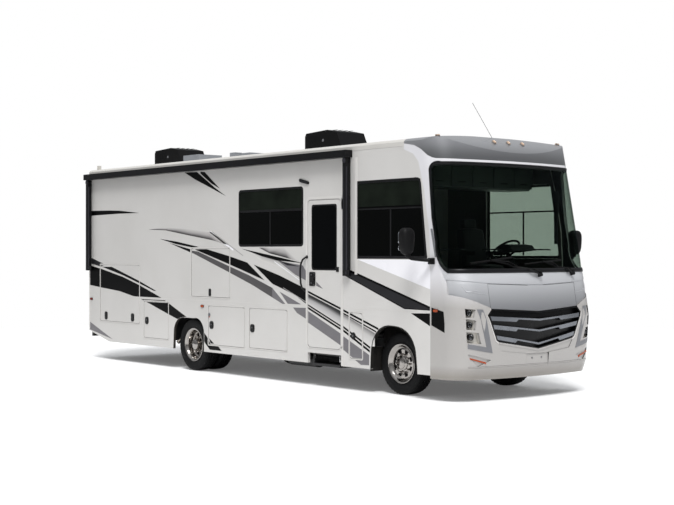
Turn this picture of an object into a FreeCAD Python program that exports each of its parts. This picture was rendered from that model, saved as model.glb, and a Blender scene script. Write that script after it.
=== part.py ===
"""Motorhome on a gasoline truck chassis, as separate panels, doors, wheels and running gear.

Millimetres. +X is forward, +Y is the road side (driver), -Y the curb side (entry door), +Z up.
The origin is on the ground under the middle of the coach's length and width.
Tables give x as a distance from the front axle, positive forward; ax() turns it into the frame.
"""
import FreeCAD, Part
import functools
import math
import os

V = FreeCAD.Vector
os.makedirs("parts", exist_ok=True)

# ---- overall sizes -------------------------------------------------------------------------
WHEELBASE = 4826.0
FRONT_OVERHANG = 1505.0
REAR_OVERHANG = 3369.0
WIDTH = 2565.0
ROOF_EDGE_Z = 3378.0
SKIRT_Z = 330.0
FLOOR_Z = 1140.0
FLOOR_THICK = 60.0
PANEL_SEAM_Z = 1140.0
WALL = 45.0
ROOF_CROWN = 75.0
ROOF_EDGE_DROP = 88.0
GAP = 5.0
HINGE_R = GAP / 2.0 - 0.3
LEAF_T = 2.0
LEAF_LAP = 4.0

# ---- wheels --------------------------------------------------------------------------------
TYRE_R = 419.0
TYRE_W = 248.0
RIM_FLANGE_R = 266.0
BEAD_R = 248.0
RIM_W = 204.0
FRONT_WHEEL_INSET = 323.5
REAR_WHEEL_INSET = 168.5
KINGPIN_OFFSET = 169.0
DUAL_SPACING = 285.0

# ---- chassis -------------------------------------------------------------------------------
RAIL_Y = 430.0
RAIL_FLANGE = 76.0
RAIL_H = 230.0
RAIL_T = 8.0
RAIL_TOP = FLOOR_Z - FLOOR_THICK

# ---- front cap -----------------------------------------------------------------------------
CAP_T = 30.0
GLASS_T = 8.0

# ---- slide-out room on the road side ---------------------------------------------------------
SLIDE_X0 = -5550.0
SLIDE_X1 = -1500.0
SLIDE_Z0 = 1190.0
SLIDE_Z1 = 3020.0
SLIDE_DEPTH = 760.0
SLIDE_WALL = 40.0
SLIDE_FLANGE = 45.0
SLIDE_FLANGE_T = 25.0

HALF_W = WIDTH / 2.0
INNER_W = HALF_W - WALL
FRONT_WHEEL_Y = HALF_W - FRONT_WHEEL_INSET
REAR_OUTER_Y = HALF_W - REAR_WHEEL_INSET
KINGPIN_Y = FRONT_WHEEL_Y - KINGPIN_OFFSET
FRONT_AXLE_X = (WHEELBASE + REAR_OVERHANG - FRONT_OVERHANG) / 2.0
REAR_AXLE = -WHEELBASE
REAR_END = -WHEELBASE - REAR_OVERHANG
WALL_TOP = ROOF_EDGE_Z - ROOF_EDGE_DROP
SIDES = (("curb", -1), ("road", 1))


def ax(x):
    """Distance from the front axle to frame x."""
    return FRONT_AXLE_X + x


def from_rear_axle(x):
    """Distance from the rear axle to distance from the front axle."""
    return x - WHEELBASE


def save(name, shapes):
    """Write one node: a solid, or solids that don't touch."""
    solids = []
    for shape in shapes if isinstance(shapes, (list, tuple)) else [shapes]:
        solids.extend(shape.Solids)
    result = solids[0] if len(solids) == 1 else Part.makeCompound(solids)
    result.exportStep("parts/%s.step" % name)
    volume = sum(s.Volume for s in solids) / 1e6
    print("%-26s solids %2d  litres %9.2f  valid %s" % (name, len(solids), volume, result.isValid()))


def block(x0, x1, y0, y1, z0, z1):
    """A box between two corners, x from the front axle."""
    y0, y1 = min(y0, y1), max(y0, y1)
    return Part.makeBox(x1 - x0, y1 - y0, z1 - z0, V(ax(x0), y0, z0))


def outline(start, steps, place):
    """A closed face. steps hold (a, b) for a line or (a_mid, b_mid, a, b) for an arc."""
    edges = []
    here = start
    for step in list(steps) + [start]:
        there = step[-2:]
        if len(step) == 4:
            edges.append(Part.Arc(place(*here), place(*step[:2]), place(*there)).toShape())
        elif math.dist(here, there) > 1e-6:
            edges.append(Part.LineSegment(place(*here), place(*there)).toShape())
        here = there
    return Part.Face(Part.Wire(edges))


def side_prism(start, steps, y0, y1):
    """An outline in x, z pushed from y0 to y1."""
    y0, y1 = min(y0, y1), max(y0, y1)
    return outline(start, steps, lambda x, z: V(ax(x), y0, z)).extrude(V(0, y1 - y0, 0))


def front_prism(start, steps, x0, x1):
    """An outline in y, z pushed from x0 to x1."""
    return outline(start, steps, lambda y, z: V(ax(x0), y, z)).extrude(V(x1 - x0, 0, 0))


def plan_prism(start, steps, z0, z1):
    """An outline in x, y pushed from z0 to z1."""
    return outline(start, steps, lambda x, y: V(ax(x), y, z0)).extrude(V(0, 0, z1 - z0))


def rounded_panel(x0, x1, z0, z1, r, y0, y1):
    """A flat panel in x, z with round corners."""
    k = r * (1.0 - math.sqrt(0.5))
    steps = [(x1 - r, z0), (x1 - k, z0 + k, x1, z0 + r), (x1, z1 - r), (x1 - k, z1 - k, x1 - r, z1),
             (x0 + r, z1), (x0 + k, z1 - k, x0, z1 - r), (x0, z0 + r), (x0 + k, z0 + k, x0 + r, z0)]
    return side_prism((x0 + r, z0), steps, y0, y1)


def rod_y(x, z, r, y0, y1):
    """A round bar along y."""
    y0, y1 = min(y0, y1), max(y0, y1)
    return Part.makeCylinder(r, y1 - y0, V(ax(x), y0, z), V(0, 1, 0))


def bar(p, q, r):
    """A round bar between two points, x from the front axle."""
    a = V(ax(p[0]), p[1], p[2])
    b = V(ax(q[0]), q[1], q[2])
    return Part.makeCylinder(r, (b - a).Length, a, b - a)


def hinge(p, q, leaf):
    """A long hinge barrel on a door's edge, with the leaf that joins it to the door."""
    return [bar(p, q, HINGE_R), leaf]


def fuse(shapes):
    result = shapes[0].multiFuse(shapes[1:]) if len(shapes) > 1 else shapes[0]
    return result.removeSplitter()


def mirrored(shape):
    """The same piece on the other side of the coach."""
    return shape.mirror(V(0, 0, 0), V(0, 1, 0))


def both_sides(curb_shape):
    return [curb_shape, mirrored(curb_shape)]


# ---- body section ----------------------------------------------------------------------------
def roof_section(shrink):
    """Start and steps of the crowned roof's outline in y, z, moved in by shrink."""
    w = HALF_W - shrink
    edge = ROOF_EDGE_Z - 28.0 - shrink * 0.5
    shoulder = 60.0
    top = ROOF_EDGE_Z + ROOF_CROWN - shrink
    side_top = ROOF_EDGE_Z + 12.0 - shrink
    k = shoulder * 0.32
    return w, edge, shoulder, top, side_top, k


def roof_prism(shrink, z_low, x0, x1, flare=0.0):
    """The space under the crowned roof; flare widens it below the shoulders, so that they cut the sides."""
    w, edge, shoulder, top, side_top, k = roof_section(shrink)
    f = w + flare
    e, low = w + flare * 0.2, edge - flare * 0.35
    steps = [(f, z_low), (f, low), (e, low), (w - k, side_top - k * 0.9, w - shoulder, side_top),
             (0.0, top, shoulder - w, side_top), (k - w, side_top - k * 0.9, -e, low), (-f, low)]
    return front_prism((-f, z_low), steps, x0, x1)


# seam between side wall and front cap, from the roof down: x from the front axle, z
SEAM = ((295.0, ROOF_EDGE_Z - 130.0), (470.0, ROOF_EDGE_Z - 195.0), (570.0, ROOF_EDGE_Z - 300.0),
        (680.0, ROOF_EDGE_Z - 680.0), (772.0, 2190.0), (795.0, 1805.0))
CAP_BACK = SEAM[0][0]
SEAM_X = SEAM[-1][0]

# ---- openings in the side walls ----------------------------------------------------------------
ENTRY = {"x0": -1756.0, "x1": -1004.0, "z0": 553.0, "z1": 2645.0, "r": 60.0}
# doors of the outside lockers: name, side, x0, x1, z0, z1, corner radius, locker depth
LOCKERS = (
    ("curb_locker_door_1", -1, from_rear_axle(-2954.0), from_rear_axle(-1601.0), 690.0, 1686.0, 22.0, 560.0),
    ("curb_locker_door_2", -1, from_rear_axle(-1453.0), from_rear_axle(-671.0), 465.0, 1080.0, 22.0, 400.0),
    ("curb_locker_door_3", -1, -4801.0, -3718.0, 1198.0, 1966.0, 22.0, 380.0),
    ("curb_locker_door_4", -1, -4309.0, -3322.0, 450.0, 1060.0, 22.0, 560.0),
    ("curb_locker_door_5", -1, -3191.0, -2248.0, 460.0, 1060.0, 22.0, 560.0),
    ("fuel_door", -1, -822.0, -545.0, 450.0, 1076.0, 45.0, 200.0),
    ("road_locker_door_1", 1, from_rear_axle(-2954.0), from_rear_axle(-1601.0), 560.0, 1060.0, 22.0, 560.0),
    ("road_locker_door_2", 1, -4250.0, -3050.0, 450.0, 1060.0, 22.0, 560.0),
    ("road_locker_door_3", 1, -2900.0, -1500.0, 450.0, 1060.0, 22.0, 560.0),
)
LOCKER_WALL = 12.0
LOCKER_CLEAR = 4.0
# fixed windows in the walls: side, x0, x1, z0, z1
WINDOWS = (
    (-1, -3479.0, -1858.0, 1988.0, 2853.0),
    (1, from_rear_axle(-2700.0), from_rear_axle(-1700.0), 2050.0, 2750.0),
)
SLIDE_WINDOW = (-4300.0, -2900.0, 2000.0, 2750.0)
WINDOW_R = 60.0
WINDOW_T = 22.0
CAB_WINDOW = ((-680.0, 1816.0), ((698.0, 1816.0), (731.0, 1826.0, 735.0, 1862.0), (625.0, 2577.0),
              (585.0, 2800.0), (555.0, 2862.0, 490.0, 2874.0), (-680.0, 2874.0)))


def arch(y0, y1, rear, grow=0.0):
    """The wheel arch opening through a side wall."""
    g = grow
    if rear:
        c = REAR_AXLE - 45.0
        steps = [(c + 435 + g, SKIRT_Z - 50), (c + 432 + g, 650), (c + 354 + g, 795 + g, c + 150, 850 + g),
                 (c - 150, 850 + g), (c - 362 - g, 795 + g, c - 458 - g, 645)]
        return side_prism((c - 480 - g, SKIRT_Z - 50), steps, y0, y1)
    steps = [(556 + g, SKIRT_Z - 50), (530 + g, 560), (430 + g, 800 + g, 190, 925 + g),
             (-20, 935 + g), (-275 - g, 815 + g, -370 - g, 600)]
    return side_prism((-380 - g, SKIRT_Z - 50), steps, y0, y1)


def cab_window(y0, y1):
    return side_prism(CAB_WINDOW[0], CAB_WINDOW[1], y0, y1)


def side_wall(side):
    y_out = side * HALF_W
    y_in = side * INNER_W
    start = (REAR_END, 504.0)
    steps = [(from_rear_axle(-2640.0), SKIRT_Z), (SEAM_X, SKIRT_Z)]
    steps += [(x, z) for x, z in reversed(SEAM)]
    steps += [(CAP_BACK, WALL_TOP), (REAR_END, WALL_TOP)]
    wall = side_prism(start, steps, y_in, y_out)
    lo, hi = min(y_in, y_out) - 1, max(y_in, y_out) + 1
    cuts = [arch(lo, hi, True), arch(lo, hi, False), cab_window(lo, hi)]
    for _, door_side, x0, x1, z0, z1, r, _ in LOCKERS:
        if door_side == side:
            cuts.append(rounded_panel(x0, x1, z0, z1, r, lo, hi))
    for window_side, x0, x1, z0, z1 in WINDOWS:
        if window_side == side:
            cuts.append(rounded_panel(x0, x1, z0, z1, WINDOW_R, lo, hi))
    if side < 0:
        cuts.append(rounded_panel(ENTRY["x0"], ENTRY["x1"], ENTRY["z0"], ENTRY["z1"], ENTRY["r"], lo, hi))
        cuts.append(block(ENTRY["x0"], ENTRY["x1"], lo, hi, SKIRT_Z - 50, STEP_TOP))
    else:
        cuts.append(block(SLIDE_X0 - GAP, SLIDE_X1 + GAP, lo, hi, SLIDE_Z0 - GAP, SLIDE_Z1 + GAP))
    return wall.cut(Part.makeCompound(cuts))


STEP_TOP = 478.0


# tail lamps: distance of their edges in from the side, heights, depth
TAIL_LAMP = {"outer": 102.5, "inner": 242.5, "z0": 880.0, "z1": 1260.0, "depth": 30.0}
REAR_PLATE = {"y": 0.0, "z": 820.0}


def tail_lamp(side, inset):
    m = TAIL_LAMP
    y0, y1 = HALF_W - m["inner"] + inset, HALF_W - m["outer"] - inset
    z0, z1 = m["z0"] + inset, m["z1"] - inset
    return block(REAR_END, REAR_END + m["depth"] - inset, side * y0, side * y1, z0, z1)


def build_walls():
    for name, side in SIDES:
        wall = side_wall(side)
        below = block(REAR_END - 1, SEAM_X + 1, -HALF_W - 1, HALF_W + 1, 0, PANEL_SEAM_Z)
        save("%s_wall" % name, wall.cut(below))
        save("%s_skirt" % name, wall.common(below))
    rear = front_prism((-INNER_W, 504.0), [(INNER_W, 504.0), (INNER_W, WALL_TOP), (-INNER_W, WALL_TOP)],
                       REAR_END, REAR_END + WALL)
    for _, side in SIDES:
        rear = rear.cut(tail_lamp(side, 0.0))
        y, z = REAR_PLATE["y"] + side * PLATE_HOLES / 2.0, REAR_PLATE["z"]
        rear = rear.cut(bar((REAR_END - 1, y, z), (REAR_END + WALL + 1, y, z), PLATE_HOLE_R))
    save("rear_wall", rear)
    save("tail_lamps", [tail_lamp(side, 0.3) for _, side in SIDES])
    roof = roof_prism(0.0, WALL_TOP, REAR_END, CAP_BACK)
    crown_in = ROOF_EDGE_Z - 15.0
    hollow_y = INNER_W - 8
    hollow = front_prism((-hollow_y, WALL_TOP - 1),
                         [(hollow_y, WALL_TOP - 1), (hollow_y, WALL_TOP + 5),
                          (0.0, crown_in, -hollow_y, WALL_TOP + 5)], REAR_END + WALL, CAP_BACK + 1)
    save("roof", roof.cut(hollow))


# ---- floor and lockers ---------------------------------------------------------------------------
WELL_DEPTH = 560.0
STAIR_T = 12.0


def build_floor():
    y = INNER_W
    floor = block(REAR_END + WALL, 1000.0, -y, y, FLOOR_Z - FLOOR_THICK, FLOOR_Z)
    well_y = -y + WELL_DEPTH
    floor = floor.cut(block(ENTRY["x0"], ENTRY["x1"], -y - 1, well_y, 0, FLOOR_Z + 1))
    for _, side, lx0, lx1, lz0, lz1, _, depth in LOCKERS:
        if lz0 < FLOOR_Z < lz1:
            c = LOCKER_WALL + LOCKER_CLEAR
            floor = floor.cut(block(lx0 - c, lx1 + c, side * (y + 1), side * (y - depth), 0, FLOOR_Z + 1))
    rails = [block(x, x + 120.0, HALF_W - SLIDE_DEPTH, y, FLOOR_Z, SLIDE_Z0 - 0.3)
             for x in (SLIDE_X0 + 500.0, SLIDE_X1 - 620.0)]
    save("coach_floor", fuse([floor] + rails))
    t = STAIR_T
    x0, x1 = ENTRY["x0"] - t, ENTRY["x1"] + t
    under = FLOOR_Z - FLOOR_THICK
    side_profile = [(well_y + t, under), (well_y + t, 800.0), (-y + 280.0, 500.0), (-y, 500.0)]
    cheek = [front_prism((-y, under), side_profile[::-1], x, x + t) for x in (x0, x1 - t)]
    tread_low = block(x0, x1, -y, -y + 280.0, 500.0, 500.0 + t)
    riser_low = block(x0, x1, -y + 280.0 - t, -y + 280.0, 500.0, 800.0)
    tread_high = block(x0, x1, -y + 280.0 - t, well_y + t, 800.0 - t, 800.0)
    riser_high = block(x0, x1, well_y, well_y + t, 800.0 - t, under)
    save("stairwell", fuse([tread_low, riser_low, tread_high, riser_high] + cheek))


def locker_box(side, x0, x1, z0, z1, depth):
    """A thin tray behind a locker door, open towards the door."""
    t = LOCKER_WALL
    clear = LOCKER_CLEAR
    top = z1 + clear + t
    if FLOOR_Z - FLOOR_THICK - 60.0 < top < FLOOR_Z + 20.0:
        top = FLOOR_Z - FLOOR_THICK
    y_wall = side * INNER_W
    y_back = side * (INNER_W - depth)
    outer = block(x0 - clear - t, x1 + clear + t, y_wall, y_back, z0 - clear - t, top)
    inner_back = side * (INNER_W - depth + t)
    return outer.cut(block(x0 - clear, x1 + clear, side * (INNER_W + 1), inner_back, z0 - clear, top - t))


def build_lockers():
    save("lockers", [locker_box(side, x0, x1, z0, z1, depth)
                     for _, side, x0, x1, z0, z1, _, depth in LOCKERS])
    for name, side, x0, x1, z0, z1, r, _ in LOCKERS:
        panel = rounded_panel(x0 + GAP, x1 - GAP, z0 + GAP, z1 - GAP, r, side * INNER_W, side * HALF_W)
        y = side * HALF_W
        z = z1 - GAP / 2.0
        a, b = x0 + r + 30.0, x1 - r - 30.0
        leaf = block(a, b, y, y - side * LEAF_T, z - GAP / 2.0 - LEAF_LAP, z)
        save(name, fuse([panel] + hinge((a, y, z), (b, y, z), leaf)))


def build_entry():
    e = ENTRY
    door = rounded_panel(e["x0"] + GAP, e["x1"] - GAP, e["z0"] + GAP, e["z1"] - GAP, e["r"],
                         -HALF_W, -INNER_W)
    pane = (e["x0"] + 88.0, e["x1"] - 92.0, 1650.0, 2580.0)
    opening = rounded_panel(pane[0], pane[1], pane[2], pane[3], 40.0, -HALF_W - 1, -INNER_W + 1)
    x = e["x1"] - GAP / 2.0
    z0, z1 = e["z0"] + e["r"] + 40.0, e["z1"] - e["r"] - 40.0
    leaf = block(x - GAP / 2.0 - LEAF_LAP, x, -HALF_W, -HALF_W + LEAF_T, z0, z1)
    save("entry_door", fuse([door.cut(opening)] + hinge((x, -HALF_W, z0), (x, -HALF_W, z1), leaf)))
    glass_y = -HALF_W + 4
    save("entry_door_glass", rounded_panel(*pane, 40.0, glass_y, glass_y + WINDOW_T))
    x0, x1 = e["x0"] + 60.0, e["x1"] - 8.0
    housing = fuse([block(x0, x0 + 20, -HALF_W + 60, -HALF_W + 520, 300.0, 470.0),
                    block(x1 - 20, x1, -HALF_W + 60, -HALF_W + 520, 300.0, 470.0),
                    block(x0, x1, -HALF_W + 60, -HALF_W + 520, 450.0, 500.0)])
    save("step_housing", housing)
    tread = fuse([block(x0 + 26, x1 - 26, -HALF_W + 10, -HALF_W + 340, 300.0, 335.0),
                  block(x0 + 20.3, x0 + 46, -HALF_W + 40, -HALF_W + 500, 300.0, 420.0),
                  block(x1 - 46, x1 - 20.3, -HALF_W + 40, -HALF_W + 500, 300.0, 420.0)])
    save("entry_step", tread)


def build_windows():
    panes = []
    for side, x0, x1, z0, z1 in WINDOWS:
        y = side * (HALF_W - 4)
        panes.append(rounded_panel(x0, x1, z0, z1, WINDOW_R, y, y - side * WINDOW_T))
    for _, side in SIDES:
        y = side * (HALF_W - 4)
        panes.append(cab_window(y, y - side * WINDOW_T))
    save("side_windows", panes)


def build_slide_out():
    t = SLIDE_WALL
    x0, x1, z0, z1 = SLIDE_X0, SLIDE_X1, SLIDE_Z0, SLIDE_Z1
    y_out = HALF_W + GAP
    y_in = HALF_W - SLIDE_DEPTH
    inside = block(x0 + t, x1 - t, y_in - 1, y_out - WALL, z0 + t, z1 - t)
    room = block(x0, x1, y_in, y_out, z0, z1).cut(inside)
    f = SLIDE_FLANGE
    face = rounded_panel(x0 - f, x1 + f, z0 - f, z1 + f, 30.0, y_out, y_out + SLIDE_FLANGE_T)
    room = fuse([room, face])
    wx0, wx1, wz0, wz1 = SLIDE_WINDOW
    hole = rounded_panel(wx0, wx1, wz0, wz1, WINDOW_R, y_out - WALL - 1, y_out + SLIDE_FLANGE_T + 1)
    save("slide_out_room", room.cut(hole))
    y = y_out + SLIDE_FLANGE_T - 4
    save("slide_out_window", rounded_panel(wx0, wx1, wz0, wz1, WINDOW_R, y - WINDOW_T, y))


# ---- front cap -----------------------------------------------------------------------------------
# plan sections from the bottom: z, nose x at the centre, nose radius, corner radius
CAP_SECTIONS = (
    (290.0, 1392.0, 5600.0, 330.0),
    (430.0, 1452.0, 5600.0, 345.0),
    (700.0, 1480.0, 5700.0, 350.0),
    (1060.0, FRONT_OVERHANG, 5800.0, 350.0),
    (1500.0, 1431.0, 5600.0, 350.0),
    (1640.0, 1400.0, 5200.0, 350.0),
    (ROOF_EDGE_Z - 310.0, 1135.0, 4200.0, 350.0),
    (ROOF_EDGE_Z + 160.0, 1040.0, 4000.0, 350.0),
)
CAP_REAR = 250.0
# top of the brow in side view, from the roof forward: x, z
BROW = ((CAP_BACK, ROOF_EDGE_Z + ROOF_CROWN + 25.0), (640.0, ROOF_EDGE_Z + 70.0), (930.0, ROOF_EDGE_Z - 25.0),
        (1105.0, ROOF_EDGE_Z - 165.0), (1180.0, ROOF_EDGE_Z - 310.0))


def cap_wire(z, nose, nose_r, corner_r, shrink):
    """One plan section of the cap as lines and arcs, moved in by shrink."""
    w = HALF_W - shrink
    nose = nose - shrink
    nose_r = nose_r - shrink
    corner_r = corner_r - shrink
    centre = nose - nose_r
    cy = w - corner_r
    cx = centre + math.sqrt((nose_r - corner_r) ** 2 - cy ** 2)
    tangent = math.atan2(cy, cx - centre)
    tx = centre + nose_r * math.cos(tangent)
    ty = nose_r * math.sin(tangent)
    mid = (math.pi / 2.0 + tangent) / 2.0
    mx = cx + corner_r * math.cos(mid)
    my = cy + corner_r * math.sin(mid)
    p = [(CAP_REAR, -w), (cx, -w), (mx, -my), (tx, -ty), (nose, 0.0),
         (tx, ty), (mx, my), (cx, w), (CAP_REAR, w)]
    q = [V(ax(x), y, z) for x, y in p]
    return Part.Wire([Part.LineSegment(q[0], q[1]).toShape(), Part.Arc(q[1], q[2], q[3]).toShape(),
                      Part.Arc(q[3], q[4], q[5]).toShape(), Part.Arc(q[5], q[6], q[7]).toShape(),
                      Part.LineSegment(q[7], q[8]).toShape(), Part.LineSegment(q[8], q[0]).toShape()])


@functools.lru_cache(maxsize=None)
def cap_body(shrink):
    """The cap's full form, without its hollow, moved in by shrink."""
    wires = [cap_wire(z, nose, nr, cr, shrink) for z, nose, nr, cr in CAP_SECTIONS]
    form = Part.makeLoft(wires, True, True)
    form = form.common(roof_prism(shrink, 0.0, CAP_REAR - 1, 2000.0, 40.0))
    s = shrink
    steps = [(x - s * 0.3, z - s) for x, z in BROW] + [(1180.0 - s, 1700.0), (2000.0, 1700.0), (2000.0, 0.0)]
    start = (CAP_REAR - 2, BROW[0][1] - s)
    return form.common(side_prism(start, steps + [(CAP_REAR - 2, 0.0)], -2000.0, 2000.0))


def glass_region():
    """The space in front of and beside the cab that the windshield fills."""
    top = ROOF_EDGE_Z - 318.0
    steps = [(2000.0, 1645.0), (2000.0, top), (905.0, top), (800.0, top - 20.0, 765.0, top - 110.0),
             (825.0, 2350.0), (895.0, 2010.0), (945.0, 1790.0, 1090.0, 1645.0)]
    return side_prism((1090.0, 1645.0), steps, -2000.0, 2000.0)


# the hood between its slanting corners: half widths as distances in from the side, and heights
HOOD = {"top_in": 462.5, "low_in": 464.5, "flat_y": 150.0, "top_z": 1500.0, "top_mid_z": 1475.0,
        "low_z": 1190.0, "low_mid_z": 1143.0}
HOOD_GAP = 5.6
HOOD_RECESS = 9.0
HOOD_HINGE_X = 1425.0
HOOD_HINGE_Y = 140.0
# outlines on the nose: distance in from the side (the middle is None), height
GRILLE = ((470.0, 1181.0), (394.5, 1108.0), (537.5, 792.0), (582.5, 763.0), (None, 654.0), (None, 1134.0))
GRILLE_TO_HOOD = 7.0
BAND_STEP = ((10.5, 1558.0), (118.5, 1546.0), (462.5, 1515.0), (1132.5, 1490.0),
             (None, 1490.0), (None, 1130.0),
             (482.5, 1188.0), (63.5, 1352.0), (10.5, 1378.0))
BUMPER_FACE = ((577.5, 745.0), (None, 628.0), (None, 600.0), (1067.5, 600.0), (644.5, 640.0))
BUMPER_RECESS = 8.0
SIGNAL_POCKET = ((147.5, 622.0), (477.5, 540.0), (277.5, 462.0), (167.5, 575.0))
SIGNAL_DEPTH = 12.0
LAMP_POCKETS = (
    ((110.5, 1196.0), (231.5, 1182.0), (197.5, 1085.0), (110.5, 1085.0)),
    ((108.5, 1070.0), (224.5, 1045.0), (214.5, 925.0), (117.5, 935.0)),
    ((117.5, 905.0), (262.5, 890.0), (310.5, 748.0), (130.5, 765.0)),
)
LAMP = {"outer": 67.5, "inner": 330.0, "z0": 722.0, "z1": 1218.0, "x0": 1080.0, "depth": 110.0,
        "pocket": 65.0}
# three V-shaped bars of the grille: top at the middle, rise to the ends
GRILLE_BARS = ((1045.0, 55.0), (903.0, 95.0), (735.0, 140.0))
BAR_END_Y = 880.0
BAR_JOG_Y = 420.0
BAR_THIN = 30.0
BAR_THICK = 60.0
GRILLE_RIM = 14.0
GRILLE_DEPTH = 62.0
FORE = 1700.0
AFT = 1000.0


def hood_region(grow):
    h = HOOD
    low_y, top_y = HALF_W - h["low_in"] + grow, HALF_W - h["top_in"] + grow
    steps = [(0.0, h["low_mid_z"] - grow), (low_y, h["low_z"] - grow), (top_y, h["top_z"] + grow),
             (h["flat_y"], h["top_mid_z"] + grow), (-h["flat_y"], h["top_mid_z"] + grow),
             (-top_y, h["top_z"] + grow)]
    return front_prism((-low_y, h["low_z"] - grow), steps, AFT, FORE)


def nose_points(table, side):
    """Points on one half of the nose, from distances in from the side."""
    return [(0.0 if inset is None else side * (HALF_W - inset), z) for inset, z in table]


def nose_prism(table, side):
    points = nose_points(table, side)
    return front_prism(points[0], points[1:], AFT, FORE)


def both_halves(table):
    return nose_prism(table, -1).fuse(nose_prism(table, 1)).removeSplitter()


def nose_skin(outer, inner):
    """The cap's material between two depths under its surface."""
    return cap_body(outer).cut(cap_body(inner))


def lamp_block(side):
    m = LAMP
    return block(m["x0"], FORE, side * (HALF_W - m["inner"]), side * (HALF_W - m["outer"]), m["z0"], m["z1"])


def grille_bar(mid_z, rise):
    """One bar across the nose: thin in the middle, thick beyond its jog."""
    jog = BAR_JOG_Y / BAR_END_Y * rise
    half = [(0.0, mid_z - BAR_THIN), (BAR_JOG_Y - BAR_THIN, mid_z + jog - BAR_THIN),
            (BAR_JOG_Y, mid_z + jog - BAR_THICK), (BAR_END_Y, mid_z + rise - BAR_THICK),
            (BAR_END_Y, mid_z + rise)]
    points = half + [(0.0, mid_z)] + [(-y, z) for y, z in reversed(half[1:])]
    return front_prism(points[0], points[1:], AFT, FORE)


# licence plate seat on the front cap: face x, half width, middle z
PLATE = {"x": 1446.0, "y": 215.0, "z": 538.0, "z0": 425.0, "z1": 600.0}
PLATE_HOLES = 178.0
PLATE_HOLE_R = 3.0


def cap_side_region():
    """Everything forward of the seam with the side walls."""
    steps = [(x, z) for x, z in SEAM]
    steps += [(SEAM_X, 0.0), (2000.0, 0.0), (2000.0, 4000.0), (CAP_BACK, 4000.0)]
    return side_prism(SEAM[0], steps[1:], -2000.0, 2000.0)


def build_cap():
    shell = nose_skin(0.0, CAP_T).common(cap_side_region())
    shell = shell.cut(nose_skin(0.0, HOOD_RECESS).common(both_halves(BAND_STEP)))
    shell = shell.cut(nose_skin(0.0, BUMPER_RECESS).common(both_halves(BUMPER_FACE)))
    plate = PLATE
    shell = shell.cut(block(plate["x"], FORE, -plate["y"], plate["y"], plate["z0"], plate["z1"]))
    for _, side in SIDES:
        y = side * PLATE_HOLES / 2.0
        shell = shell.cut(bar((AFT, y, plate["z"]), (FORE, y, plate["z"]), PLATE_HOLE_R))
        shell = shell.cut(nose_skin(0.0, SIGNAL_DEPTH).common(nose_prism(SIGNAL_POCKET, side)))
    region = glass_region()
    save("windshield", nose_skin(0.0, GLASS_T).common(cap_side_region()).common(region))
    hood = shell.common(hood_region(0.0))
    outline_grown = [(inset, z + GRILLE_TO_HOOD if z > 1110.0 else z) for inset, z in GRILLE]
    shell = shell.cut(region).cut(hood_region(HOOD_GAP)).cut(both_halves(outline_grown))
    pockets = [nose_prism(pocket, side) for pocket in LAMP_POCKETS for _, side in SIDES]
    pockets = Part.makeCompound(pockets)
    save("front_cap", shell.cut(pockets))
    x, z = HOOD_HINGE_X, HOOD["top_mid_z"] + HOOD_GAP / 2.0
    leaf = block(x - 14.0, x, -HOOD_HINGE_Y, HOOD_HINGE_Y, z - HOOD_GAP / 2.0 - LEAF_LAP, z)
    save("hood", fuse([hood] + hinge((x, -HOOD_HINGE_Y, z), (x, HOOD_HINGE_Y, z), leaf)))
    frame = both_halves(GRILLE)
    rim_hole = [(None if inset is None else inset + GRILLE_RIM,
                 z + (GRILLE_RIM if z < 900.0 else -GRILLE_RIM))
                for inset, z in GRILLE]
    rim = nose_skin(0.0, GRILLE_DEPTH).common(frame.cut(both_halves(rim_hole)))
    back = nose_skin(GRILLE_DEPTH, GRILLE_DEPTH + 8.0).common(frame)
    bars = [nose_skin(6.0, GRILLE_DEPTH).common(grille_bar(z, rise)).common(frame) for z, rise in GRILLE_BARS]
    save("grille", fuse([rim, back] + bars))
    lamps = []
    for _, side in SIDES:
        body = nose_skin(CAP_T + 0.3, LAMP["depth"]).common(lamp_block(side))
        lamps.append(body.cut(nose_skin(0.0, LAMP["pocket"]).common(pockets)))
    save("headlamps", lamps)


# ---- cab ------------------------------------------------------------------------------------------
STEER = {"x": 330.0, "y": HALF_W - 692.5, "z": 1935.0, "r": 225.0, "tilt": 38.0}
SEAT_INSET = 662.5
DASH_CORNER_INSET = 322.5


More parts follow.
